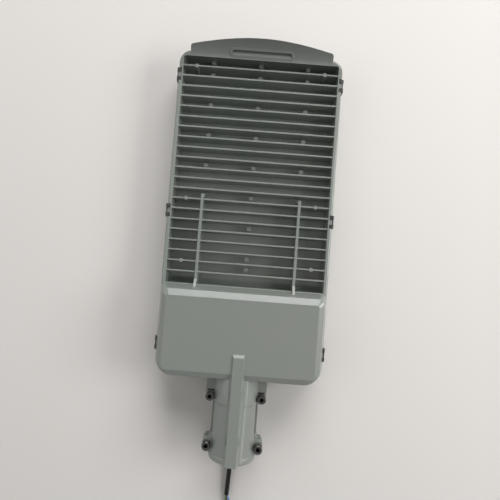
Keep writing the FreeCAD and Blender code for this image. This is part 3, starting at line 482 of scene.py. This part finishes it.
def new_piece(name, build, material, weld=False):
    """A mesh piece in the shared frame, riding on the head."""
    mesh = bpy.data.meshes.new(name)
    mesh.from_pydata(build.vertices, [], build.faces)
    mesh.validate()
    work = bmesh.new()
    work.from_mesh(mesh)
    if weld:
        bmesh.ops.remove_doubles(work, verts=work.verts, dist=WELD_WITHIN)
    bmesh.ops.recalc_face_normals(work, faces=work.faces)
    work.to_mesh(mesh)
    work.free()
    mesh.shade_smooth()
    mesh.set_sharp_from_angle(angle=SHARP_FROM)
    mesh.materials.append(material)
    piece = bpy.data.objects.new(name, mesh)
    bpy.context.scene.collection.objects.link(piece)
    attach(piece, BODY)
    return piece


def paint_surface(name):
    """Sprayed paint: even grey with a faint drift of tone, fine orange peel, soft edges and a
    painted shade that darkens the front peak.
    """
    values = finishes()
    base = tuple(values.paint)
    surface = Surface(name, base, coat_weight=values.coat, coat_roughness=0.10)
    cooler = shade(blend(base, srgb(121, 134, 129), 0.3), 0.98)
    warmer = shade(blend(base, srgb(133, 132, 127), 0.3), 1.02)
    drift = surface.noise(DRIFT_WAVES, detail=3.0, roughness=0.55).ramp(0.34, 0.66)
    cloud = surface.noise(CLOUD_WAVES, detail=4.0, roughness=0.6).ramp(0.3, 0.7)
    speck = surface.noise(SPECK_WAVES, detail=2.0, roughness=0.7).ramp(0.70, 0.78)
    edge = surface.edge(values.casting_edge * 1.3).ramp(0.02, 0.25)
    peak_shade_share = surface.part("Y").ramp(PEAK_SHADE_FROM, PEAK_SHADE_TO)
    tone = surface.mix(drift, cooler, warmer)
    tone = surface.mix(cloud * 0.30, tone, shade(base, 0.95))
    tone = surface.mix(speck * 0.30, tone, shade(base, 1.45))
    tone = surface.mix(edge * 0.30, tone, shade(base, 1.30))
    # Painted shade: the paint darkens towards the front peak, as though the peak lay in shade.
    tone = surface.mix(peak_shade_share * (1 - values.peak_shade), tone, BLACK)
    height = surface.noise(PEEL_WAVES) + surface.noise(GRIT_WAVES, detail=1.0) * 0.25
    normal = surface.bump(height, strength=0.35, depth=values.peel,
                          normal=surface.rounded(values.casting_edge))
    gloss = cloud * 0.10 + (values.paint_roughness - 0.05)
    return surface.feed(base_color=tone, roughness=gloss, normal=normal)


def metal_surface(name, colour, roughness, waves, edge=0.4 * MM, stain=0.25):
    """Bare metal with a fine rolled or turned grain and faint dull patches."""
    surface = Surface(name, colour, metallic=1.0)
    grain = surface.noise(1.0, detail=3.0, roughness=0.6, where=surface.stretched(*waves))
    patch = surface.noise(120.0, detail=4.0, roughness=0.6).ramp(0.42, 0.68)
    tone = surface.mix(grain.ramp(0.3, 0.7), shade(colour, 0.86), shade(colour, 1.12))
    tone = surface.mix(patch * stain, tone, shade(colour, 0.55))
    gloss = grain * 0.12 + patch * 0.18 + roughness
    normal = surface.bump(grain, strength=0.25, depth=0.04 * MM, normal=surface.rounded(edge))
    return surface.feed(base_color=tone, roughness=gloss, normal=normal)


def screw_surface(name, sizes, z_top):
    """Dark zinc on the clamp screws: grained all over, with a painted dark reflection on the top
    face and painted black shade in the hexagon socket.
    """
    colour = tuple(finishes().steel)
    surface = Surface(name, colour, metallic=1.0)
    rear, front = fastener_places()[:2]
    middle = (rear[1] + front[1]) / 2
    from_axis = abs(surface.part("X")) + rear[0]
    from_pair = abs(surface.part("Y") - middle) - (front[1] - middle)
    spread = from_axis * from_axis + from_pair * from_pair
    height = surface.part("Z")
    socket_radius, socket_shade_from, face_reflection_from = sizes.key / 2 * 1.12, z_top - 0.2 * MM, z_top - 0.9 * MM
    # The socket's inside takes painted shade, and the top face a painted dark reflection.
    socket_shade_mask = (spread < socket_radius ** 2) * (height < socket_shade_from)
    face_reflection_mask = height > face_reflection_from
    grain = surface.noise(700.0, detail=3.0, roughness=0.6)
    tone = surface.mix(grain.ramp(0.35, 0.65), shade(colour, 0.8), shade(colour, 1.15))
    # Painted dark reflection: the top face is darkened.
    tone = surface.mix(face_reflection_mask * 0.75, tone, shade(colour, 0.4))
    # Painted shade: the socket's inside is near black.
    tone = surface.mix(socket_shade_mask, tone, SOCKET_SHADE_BLACK)
    normal = surface.bump(grain, strength=0.25, depth=0.04 * MM, normal=surface.rounded(0.3 * MM))
    return surface.feed(base_color=tone, roughness=grain * 0.12 + 0.2, normal=normal)


def moulded_surface(name, colour, roughness, **constants):
    """Moulded plastic or rubber with a faint fine texture."""
    surface = Surface(name, colour, **constants)
    fine = surface.noise(1800.0)
    broad = surface.noise(60.0, detail=3.0).ramp(0.35, 0.65)
    tone = surface.mix(broad, shade(colour, 0.90), shade(colour, 1.10))
    gloss = broad * 0.12 + (roughness - 0.06)
    normal = surface.bump(fine, strength=0.3, depth=0.05 * MM, normal=surface.rounded(0.3 * MM))
    return surface.feed(base_color=tone, roughness=gloss, normal=normal)


def striped_surface(name, first, second):
    """Insulation in two colours that meet on a slanting plane along the core."""
    lean, offset = 0.12, 54.3 * MM
    surface = Surface(name, first, roughness=0.38)
    wander = surface.noise(40.0, detail=1.0) * (0.4 * MM)
    past_plane = surface.part("X") + surface.part("Y") * lean + offset + wander
    return surface.feed(base_color=surface.mix(past_plane > 0.0, solid(first), solid(second)))


def board_surface():
    """White solder mask over a metal board, with the raised tracks showing through it."""
    surface = Surface("white_board", srgb(232, 234, 232))
    places = {"Vector": surface.place(), "Scale": 20.0, "Mortar Size": 0.03,
              "Color1": WHITE, "Color2": WHITE, "Mortar": BLACK}
    between = surface.add("ShaderNodeTexBrick", {"offset": 0.5}, places, "Fac")
    drift = surface.noise(20.0).ramp(0.3, 0.7)
    tone = surface.mix(drift, solid(srgb(224, 227, 225)), solid(srgb(238, 239, 236)))
    tone = surface.mix(between * 0.5, tone, solid(srgb(204, 209, 207)))
    normal = surface.bump(1 - between, strength=0.4, depth=0.06 * MM)
    return surface.feed(base_color=tone, roughness=drift * 0.1 + 0.3, normal=normal)


def glass_surface():
    """Flat toughened glass with a faint haze."""
    surface = Surface("cover_glass", srgb(240, 247, 245), roughness=0.03,
                      transmission_weight=1.0, ior=1.5)
    haze = surface.noise(30.0, detail=3.0, roughness=0.6).ramp(0.4, 0.8, start=0.02, end=0.07)
    return surface.feed(roughness=haze)


def lens_surface():
    """Clear moulded plastic with a faint ripple in its gloss."""
    surface = Surface("lens_clear", srgb(243, 246, 247), roughness=0.05,
                      transmission_weight=0.95, ior=1.49)
    ripple = surface.noise(220.0).ramp(0.3, 0.7, start=0.04, end=0.10)
    return surface.feed(roughness=ripple)


def floor_surface(colour):
    """A matt floor that takes the shadow near the head and is the plain background further off."""
    surface = Surface("floor_matt", colour, roughness=0.9)
    grain = surface.noise(900.0)
    surface.feed(normal=surface.bump(grain, strength=0.15, depth=0.1 * MM))
    across, along = surface.part("X"), surface.part("Y")
    away = (across * across + along * along).ramp(PLAIN_FROM ** 2, PLAIN_TO ** 2)
    bright = surface.add("ShaderNodeEmission", None, {"Color": solid(colour), "Strength": 1.0})
    matt = Term(surface, surface.shader.outputs[0])
    surface.show(matt, bright, away * surface.plain_rays(), "Material Output")
    return surface.material


def fastener_places():
    """The clamp screws' axes, read from the frame: the left pair, then the right one."""
    low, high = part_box("clamp_bolts")
    head = bpy.context.scene.lamp_fasteners.head
    return [(side * (high.x - head), y) for side in (-1, 1) for y in (low.y + head, high.y - head)]


def hex_reach(angle, flats):
    """How far a hexagon's side lies from its axis at an angle, with a corner at angle 0."""
    from_flat = abs((angle % (math.pi / 3)) - math.pi / 6)
    return flats / 2 / math.cos(from_flat)


def plain(radius):
    """The reach of a round ring."""
    return lambda step, angle: radius


def turned_ring(x, y, z, steps, reach):
    """Points round an axis at one height, each as far out as reach says for its step and angle."""
    points = []
    for step in range(steps):
        angle = 2 * math.pi * step / steps
        radius = reach(step, angle)
        points.append((x + radius * math.cos(angle), y + radius * math.sin(angle), z))
    return points


def cap_head(build, x, y, z_foot, z_top, sizes):
    """A round head with a knurled side, a bevelled edge and a hexagon socket with a drilled end."""
    steps = sizes.sides * 2
    head, bevel, foot_bevel, notch = sizes.head, 0.7 * MM, 0.3 * MM, 0.22 * MM
    knurl_low, knurl_high, collar = z_foot + 0.7 * MM, z_top - 1.6 * MM, z_top - 1.3 * MM
    entry, entry_depth = sizes.key / math.sqrt(3) + 0.25 * MM, 0.35 * MM
    z_socket, drilled = z_top - sizes.key_depth, sizes.key / 2 * 0.96
    tip, tip_depth = 0.4 * MM, 0.9 * MM

    def knurled(step, angle):
        return head - notch * (step % 4 > 1)

    def socket(step, angle):
        return hex_reach(angle, sizes.key)

    levels = [
        (z_foot, plain(head - foot_bevel)),
        (z_foot + foot_bevel, plain(head - notch)),
        (knurl_low, knurled),
        (knurl_high, knurled),
        (collar, plain(head)),
        (z_top - bevel, plain(head)),
        (z_top, plain(head - bevel)),
        (z_top, plain(entry)),
        (z_top - entry_depth, socket),
        (z_socket, socket),
        (z_socket, plain(drilled)),
        (z_socket - tip_depth, plain(tip)),
    ]
    build.rod([turned_ring(x, y, z, steps, reach) for z, reach in levels])


def hex_nut(build, x, y, z_foot, z_face, sizes):
    """A hexagon nut between two heights, the edge of its free face turned down at 30 degrees."""
    way = 1 if z_face > z_foot else -1
    turned, bore, lead_in = sizes.flats / 2 * 0.95, sizes.shank, sizes.shank * 0.12
    foot = turned_ring(x, y, z_foot, sizes.sides, lambda step, angle: hex_reach(angle, sizes.flats))
    skirt = []
    for px, py, _ in foot:
        drop = (math.hypot(px - x, py - y) - turned) * math.tan(math.radians(30))
        skirt.append((px, py, z_face - way * drop))
    inside = ((turned, z_face), (bore + lead_in, z_face), (bore, z_face - way * lead_in),
              (bore, z_foot))
    rings = [turned_ring(x, y, z, sizes.sides, plain(radius)) for radius, z in inside]
    made = build.stack([foot, skirt] + rings)
    build.join(made[-1], made[0])


def thread(build, x, y, z_low, z_high, radius, pitch, steps):
    """A threaded rod: each turn of the helix rises one pitch, and the first one grows to size."""
    depth, tip, growth = pitch * 0.6, radius * 0.8, 0.14
    profile = [(0.0, 0.0), (0.12, 0.0), (0.5, -depth), (0.62, -depth)]
    rings = [turned_ring(x, y, z_low, steps, plain(tip))]
    for turn in range(int((z_high - z_low) / pitch)):
        for share, inset in profile:
            ring = []
            for step in range(steps):
                angle = 2 * math.pi * step / steps
                z = z_low + pitch * (turn + share + step / steps)
                lead = min(1.0, (z - z_low) / pitch)
                reach = (radius + inset) * (1 - growth * (1 - lead))
                ring.append((x + reach * math.cos(angle), y + reach * math.sin(angle),
                             min(z, z_high)))
            rings.append(ring)
    build.rod(rings)


def spring_washer(build, x, y, low, high, inner, outer, steps):
    """A split ring with flat faces and rounded edges that slant from one end to the other."""
    gap, rise, round_off = math.radians(16), 0.5 * MM, 0.25 * MM
    middle, thick = (low + high) / 2, high - low
    section = [
        (inner, low + round_off),
        (inner + round_off, low),
        (outer - round_off, low),
        (outer, low + round_off),
        (outer, high - round_off),
        (outer - round_off, high),
        (inner + round_off, high),
        (inner, high - round_off),
    ]
    rings = []
    for step in range(steps + 1):
        angle = gap / 2 + (2 * math.pi - gap) * step / steps
        slant = (step / steps - 0.5) * rise
        points = []
        for radius, z in section:
            lift = slant * (1 - abs(z - middle) / thick * 2)
            points.append((x + radius * math.cos(angle), y + radius * math.sin(angle), z + lift))
        rings.append(points)
    build.rod(rings)


def in_metres(point):
    """A point of a cord's route, which is in millimetres, in metres."""
    return tuple(part * MM for part in point)


def cord_piece(name, node, route, diameter, material):
    """A smooth cord whose NURBS line has the route's points as its control points."""
    curve = bpy.data.curves.new(name, "CURVE")
    curve.dimensions = "3D"
    spline = curve.splines.new("NURBS")
    spline.points.add(len(route) - 1)
    for point, place in zip(spline.points, route):
        point.co = (*in_metres(place), 1.0)
    spline.order_u = 3
    spline.use_endpoint_u = True
    spline.resolution_u = 16
    curve.bevel_depth = diameter / 2
    curve.bevel_resolution = 7
    curve.use_fill_caps = True
    curve.materials.append(material)
    piece = bpy.data.objects.new(name, curve)
    bpy.context.scene.collection.objects.link(piece)
    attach(piece, BODY)
    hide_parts(node)
    return piece


def stripped(route):
    """A core's route, its insulation cut back so that the strands end where the core does."""
    last, before = Vector(route[-1]), Vector(route[-2])
    return route[:-1] + [tuple(last - (last - before).normalized() * BARE_LENGTH / MM)]


def copper_end(name, route, material):
    """The twisted copper strands that stand out of a core's cut end."""
    last, before = Vector(route[-1]) * MM, Vector(route[-2]) * MM
    way = (last - before).normalized()
    side = way.cross(Vector((0, 0, 1))).normalized()
    up = side.cross(way)
    cut = last - way * BARE_LENGTH
    sides, steps = 8, 10
    build = Build()
    for number in range(STRANDS_ROUND + 1):
        start = 2 * math.pi / STRANDS_ROUND * number
        radius = 0.0 if number == STRANDS_ROUND else STRAND_RADIUS * 2
        rings = []
        for step in range(steps + 1):
            share = step / steps
            angle = start + share * STRAND_TWIST
            centre = cut + way * (BARE_LENGTH * share - STRAND_SUNK * (1 - share))
            centre += (side * math.cos(angle) + up * math.sin(angle)) * radius
            ring = []
            for corner in range(sides):
                turn = 2 * math.pi * corner / sides
                out = side * math.cos(turn) + up * math.sin(turn)
                ring.append(tuple(centre + out * STRAND_RADIUS))
            rings.append(ring)
        build.rod(rings)
    return new_piece(name, build, material)


def lens_plate(build, middle, half, z_tip, z_board, sizes):
    """One plate, cell by cell: a dome on its free side, an emitter's pocket on the other."""
    cell = (half[0] / LENSES_ACROSS, half[1] / LENSES_ALONG)
    z_back, z_skin = z_board - PLATE_LIFT, z_tip + sizes.dome_height
    for column in range(LENSES_ACROSS):
        for row in range(LENSES_ALONG):
            x = -half[0] + cell[0] * (2 * column + 1)
            y = -half[1] + cell[1] * (2 * row + 1)
            edge = [cell_edge(x, y, step, cell, half, sizes) for step in range(LENS_STEPS)]

            def at_edge(z):
                return [(middle[0] + px, middle[1] + py, z) for px, py in edge]

            def round_lens(z, radius):
                return turned_ring(middle[0] + x, middle[1] + y, z, LENS_STEPS, plain(radius))

            front = [at_edge(z_skin), round_lens(z_skin, sizes.dome_radius)]
            for share in DOME_SHARES:
                turn = share * math.pi / 2
                front.append(round_lens(z_skin - sizes.dome_height * math.sin(turn),
                                        sizes.dome_radius * math.cos(turn)))
            back = [at_edge(z_back), round_lens(z_back, POCKET_RADIUS),
                    round_lens(z_board - POCKET_DEPTH, POCKET_RADIUS)]
            front, back = build.stack(front), build.stack(back)
            build.cap(front[-1])
            build.cap(back[-1])
            outer = [on_outline(point, half, sizes) for point in edge]
            skin, rear = front[0], back[0]
            for step in range(LENS_STEPS):
                after = (step + 1) % LENS_STEPS
                if outer[step] and outer[after]:
                    build.faces.append((skin[step], skin[after], rear[after], rear[step]))


def cell_edge(x, y, step, cell, half, sizes):
    """Where a ray from a lens's middle leaves its cell, or meets the notch round a screw."""
    angle = 2 * math.pi * step / LENS_STEPS
    way = (math.cos(angle), math.sin(angle))
    if step % (LENS_STEPS // 4) == LENS_STEPS // 8:
        way = (math.copysign(cell[0], way[0]), math.copysign(cell[1], way[1]))
    reach = min(size / abs(part) for size, part in zip(cell, way) if abs(part) > 1e-9)
    for corner_x in (-1, 1):
        for corner_y in (-1, 1):
            screw_x = corner_x * (half[0] + sizes.gap / 2) - x
            screw_y = corner_y * (half[1] + sizes.gap / 2) - y
            long = way[0] ** 2 + way[1] ** 2
            along = (way[0] * screw_x + way[1] * screw_y) / long
            under = along ** 2 - (screw_x ** 2 + screw_y ** 2 - sizes.notch ** 2) / long
            if along > 0 and under > 0:
                reach = min(reach, along - math.sqrt(under))
    return x + way[0] * reach, y + way[1] * reach


def on_outline(point, half, sizes):
    """Whether a point lies on the plate's rim or on a screw's notch."""
    near = 0.001 * MM
    across, along = abs(point[0]), abs(point[1])
    if across > half[0] - near or along > half[1] - near:
        return True
    from_screw = math.hypot(half[0] + sizes.gap / 2 - across, half[1] + sizes.gap / 2 - along)
    return abs(from_screw - sizes.notch) < near


class LAMP_OT_paint_castings(bpy.types.Operator):
    """Paint the housing, the socket saddle and the bottom frame"""

    bl_idname = "lamp_head.paint_castings"
    bl_label = "Paint castings"

    def execute(self, context):
        for node in ("housing", "socket_saddle", "bottom_frame"):
            dress(node, paint_surface(node + "_paint"))
        return {"FINISHED"}


class LAMP_OT_finish_clips(bpy.types.Operator):
    """Give the side clips their rolled spring steel"""

    bl_idname = "lamp_head.finish_clips"
    bl_label = "Side clips"

    def execute(self, context):
        colour = tuple(finishes().clip_steel)
        steel = metal_surface("clip_steel", colour, roughness=0.12, waves=CLIP_GRAIN)
        dress("side_clips", steel)
        return {"FINISHED"}


class LAMP_OT_build_bolts(bpy.types.Operator):
    """Build the clamp screws with knurled heads, hexagon sockets and threaded shanks"""

    bl_idname = "lamp_head.build_bolts"
    bl_label = "Clamp bolts"

    def execute(self, context):
        sizes = context.scene.lamp_fasteners
        low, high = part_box("clamp_bolts")
        z_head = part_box("clamp_spring_washers")[1].z
        build = Build()
        for x, y in fastener_places():
            cap_head(build, x, y, z_head, high.z, sizes)
            thread(build, x, y, low.z, z_head + MM, sizes.shank, sizes.thread_pitch,
                   sizes.sides // 2)
        bolts = new_piece("bolt_set", build, screw_surface("bolt_steel", sizes, high.z))
        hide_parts("clamp_bolts")
        return {"FINISHED"}


class LAMP_OT_build_nuts(bpy.types.Operator):
    """Build the nuts under the saddle's ears, turned down on their free faces"""

    bl_idname = "lamp_head.build_nuts"
    bl_label = "Clamp nuts"

    def execute(self, context):
        sizes = context.scene.lamp_fasteners
        colour = tuple(finishes().steel)
        steel = metal_surface("nut_steel", colour, roughness=0.26, waves=NUT_GRAIN)
        low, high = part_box("clamp_nuts")
        build = Build()
        for x, y in fastener_places():
            hex_nut(build, x, y, high.z, low.z, sizes)
        nuts = new_piece("nut_set", build, steel)
        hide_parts("clamp_nuts")
        return {"FINISHED"}


class LAMP_OT_build_washers(bpy.types.Operator):
    """Build the split spring washers and finish the flat ones"""

    bl_idname = "lamp_head.build_washers"
    bl_label = "Washers"

    def execute(self, context):
        values, sizes = finishes(), context.scene.lamp_fasteners
        bright = metal_surface("washer_steel", tuple(values.washer_steel), roughness=0.24,
                               waves=TURNED_GRAIN)
        dress("clamp_flat_washers", bright)
        dark = metal_surface("spring_washer_steel", tuple(values.steel), roughness=0.24,
                             waves=TURNED_GRAIN)
        low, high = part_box("clamp_spring_washers")
        outer = high.x - fastener_places()[-1][0]
        inner = sizes.shank + 0.3 * MM
        build = Build()
        for x, y in fastener_places():
            spring_washer(build, x, y, low.z, high.z, inner, outer, sizes.sides)
        washers = new_piece("spring_washer_set", build, dark)
        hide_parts("clamp_spring_washers")
        return {"FINISHED"}


class LAMP_OT_lay_cable(bpy.types.Operator):
    """Lay the supply cable through the socket, with its three cores and their bare ends"""

    bl_idname = "lamp_head.lay_cable"
    bl_label = "Supply cable"

    def execute(self, context):
        sheath = moulded_surface("cable_sheath", tuple(finishes().sheath), roughness=0.26,
                                 specular_ior_level=0.22)
        cable = cord_piece("supply_cord", "supply_cable", CABLE_ROUTE, CABLE_DIAMETER, sheath)
        copper = metal_surface("copper", srgb(186, 112, 72), roughness=0.25, waves=COPPER_GRAIN,
                               edge=0.1 * MM)
        earth = striped_surface("core_green_yellow", srgb(104, 168, 76), srgb(222, 210, 66))
        neutral = moulded_surface("core_blue", srgb(104, 146, 204), roughness=0.38)
        line = moulded_surface("core_brown", srgb(84, 56, 42), roughness=0.38)
        for name, slot, insulation in (
            ("core_earth", "core_green_yellow", earth),
            ("core_neutral", "core_blue", neutral),
            ("core_line", "core_brown", line),
        ):
            route = CORE_ROUTES[name]
            core = cord_piece(name + "_wire", name, stripped(route), CORE_DIAMETER, insulation)
            end = copper_end(name + "_strands", route, copper)
            in_metres(route[0])
        in_metres(CABLE_ROUTE[0])
        return {"FINISHED"}


class LAMP_OT_finish_light_side(bpy.types.Operator):
    """Finish the glass, the seals, the circuit board and what holds them"""

    bl_idname = "lamp_head.finish_light_side"
    bl_label = "Light side"

    def execute(self, context):
        dress("cover_glass", glass_surface())
        dress("led_board", board_surface())
        phosphor = moulded_surface("phosphor", srgb(226, 196, 74), roughness=0.5)
        dress("led_emitters", phosphor)
        seal = moulded_surface("silicone_seal", srgb(188, 188, 184), roughness=0.6)
        for node in ("frame_gasket", "glass_gasket"):
            dress(node, seal)
        tab = metal_surface("tab_steel", srgb(168, 168, 166), roughness=0.28, waves=TAB_GRAIN)
        dress("glass_clamps", tab)
        screw = metal_surface("screw_steel", srgb(150, 150, 148), roughness=0.25,
                              waves=TURNED_GRAIN)
        for node in ("glass_clamp_screws", "board_screws"):
            dress(node, screw)
        return {"FINISHED"}


class LAMP_OT_build_lens_plates(bpy.types.Operator):
    """Build the clear lens plates, each with smooth domes and notches for its screws"""

    bl_idname = "lamp_head.build_lens_plates"
    bl_label = "Lens plates"

    def execute(self, context):
        sizes = context.scene.lamp_lenses
        low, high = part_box("lens_plates")
        pitch_x = (high.x - low.x + sizes.gap) / PLATE_COLUMNS
        pitch_y = (high.y - low.y + sizes.gap) / PLATE_ROWS
        half = ((pitch_x - sizes.gap) / 2, (pitch_y - sizes.gap) / 2)
        build = Build()
        for column in range(PLATE_COLUMNS):
            for row in range(PLATE_ROWS):
                middle = (low.x + half[0] + pitch_x * column, low.y + half[1] + pitch_y * row)
                lens_plate(build, middle, half, low.z, high.z, sizes)
        plates = new_piece("lens_plate_set", build, lens_surface(), weld=True)
        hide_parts("lens_plates")
        return {"FINISHED"}


class LAMP_OT_finish_gear(bpy.types.Operator):
    """Finish the driver, its tray, the terminals and the cable gland"""

    bl_idname = "lamp_head.finish_gear"
    bl_label = "Gear"

    def execute(self, context):
        case = metal_surface("driver_case", srgb(182, 183, 184), roughness=0.34,
                             waves=CASE_GRAIN)
        dress("led_driver", case)
        tray = metal_surface("tray_steel", srgb(160, 163, 166), roughness=0.36,
                             waves=TRAY_GRAIN, stain=0.4)
        dress("gear_tray", tray)
        screw = metal_surface("gear_screw_steel", srgb(176, 168, 140), roughness=0.27,
                              waves=TURNED_GRAIN)
        for node in ("gear_screws", "driver_screws", "earth_screw"):
            dress(node, screw)
        surge = moulded_surface("surge_case", srgb(205, 205, 200), roughness=0.45)
        dress("surge_protector", surge)
        terminals = moulded_surface("terminal_plastic", srgb(226, 223, 210), roughness=0.4)
        dress("terminal_block", terminals)
        nylon = moulded_surface("black_nylon", srgb(28, 28, 29), roughness=0.5)
        for node in ("cable_gland", "gland_nut", "partition_grommet"):
            dress(node, nylon)
        return {"FINISHED"}


def photo_camera(values):
    """The camera, where and as it was fitted to the photo."""
    turn_x, turn_y, turn_z = [Matrix.Rotation(turn, 4, axis)
                              for turn, axis in zip(values.turn, "XYZ")]
    data = bpy.data.cameras.new("photo_camera")
    data.lens = values.lens
    data.sensor_width = SENSOR_WIDTH
    data.clip_start = SEEN_FROM
    data.clip_end = SEEN_TO
    camera = bpy.data.objects.new("photo_camera", data)
    into_camera = turn_x @ turn_y @ turn_z
    camera.matrix_world = Matrix.Translation(values.eye) @ into_camera.transposed()
    return camera


def plain_floor(colour):
    """The floor on which the head lies."""
    mesh = bpy.data.meshes.new("floor")
    signs = ((-1, -1), (1, -1), (1, 1), (-1, 1))
    corners = [(x * FLOOR_REACH, y * FLOOR_REACH, 0) for x, y in signs]
    mesh.from_pydata(corners, [], [(0, 1, 2, 3)])
    mesh.materials.append(floor_surface(colour))
    return bpy.data.objects.new("floor", mesh)


def lamp(name, energy, width, height, place):
    """A soft lamp that faces the frame's origin and isn't seen itself."""
    light = bpy.data.lights.new(name, "AREA")
    light.energy = energy
    light.shape = "RECTANGLE"
    light.size = width
    light.size_y = height
    holder = bpy.data.objects.new(name, light)
    holder.location = place
    holder.rotation_euler = (-Vector(place)).to_track_quat("-Z", "Y").to_euler()
    holder.visible_camera = False
    return holder


def even_world(strength, colour):
    """Even white light from all sides, behind which the plain background shows."""
    world = bpy.data.worlds.new("even_light")
    world.use_nodes = True
    nodes = Nodes(world.node_tree)
    even = nodes.tree.nodes["Background"]
    even.inputs["Color"].default_value = WHITE
    even.inputs["Strength"].default_value = strength
    background = nodes.add("ShaderNodeBackground", None, {"Color": solid(colour)})
    nodes.show(Term(nodes, even.outputs[0]), background, nodes.plain_rays(), "World Output")
    return world


class LAMP_OT_set_stage(bpy.types.Operator):
    """Set the floor, the soft light and the camera"""

    bl_idname = "lamp_head.set_stage"
    bl_label = "Stage"

    def execute(self, context):
        scene = context.scene
        values = scene.lamp_stage
        camera = photo_camera(values)
        scene.collection.objects.link(camera)
        scene.camera = camera
        floor = plain_floor(tuple(values.floor))
        scene.collection.objects.link(floor)
        for name, strength, width, height, place in LAMPS:
            light = lamp(name, getattr(values, strength), width, height, place)
            scene.collection.objects.link(light)
        scene.world = even_world(values.sky, tuple(values.floor))
        scene.view_settings.view_transform = "Standard"
        return {"FINISHED"}


class LAMP_PT_sidebar(bpy.types.Panel):
    """Lists the lamp head's pieces in the sidebar"""

    bl_idname = "LAMP_PT_sidebar"
    bl_label = "Lamp Head"
    bl_space_type = "VIEW_3D"
    bl_region_type = "UI"
    bl_category = "Lamp Head"

    def draw(self, context):
        for operator in OPERATORS:
            self.layout.operator(operator.bl_idname)
        for group in GROUPS:
            values = getattr(context.scene, group)
            box = self.layout.box()
            for word in values.__annotations__:
                box.prop(values, word)


GROUPS = {
    "lamp_finishes": LampFinishes,
    "lamp_fasteners": LampFasteners,
    "lamp_lenses": LampLenses,
    "lamp_stage": LampStage,
}
OPERATORS = (
    LAMP_OT_set_stage,
    LAMP_OT_lay_cable,
    LAMP_OT_paint_castings,
    LAMP_OT_finish_clips,
    LAMP_OT_build_bolts,
    LAMP_OT_build_nuts,
    LAMP_OT_build_washers,
    LAMP_OT_finish_light_side,
    LAMP_OT_build_lens_plates,
    LAMP_OT_finish_gear,
)


def register():
    for name, group in GROUPS.items():
        bpy.utils.register_class(group)
        setattr(bpy.types.Scene, name, PointerProperty(type=group))
    for operator in OPERATORS:
        bpy.utils.register_class(operator)
    bpy.utils.register_class(LAMP_PT_sidebar)


def unregister():
    bpy.utils.unregister_class(LAMP_PT_sidebar)
    for operator in reversed(OPERATORS):
        bpy.utils.unregister_class(operator)
    for name, group in GROUPS.items():
        delattr(bpy.types.Scene, name)
        bpy.utils.unregister_class(group)


def main():
    register()
    for operator in OPERATORS:
        family, word = operator.bl_idname.split(".")
        getattr(getattr(bpy.ops, family), word)()


if __name__ == "__main__":
    main()
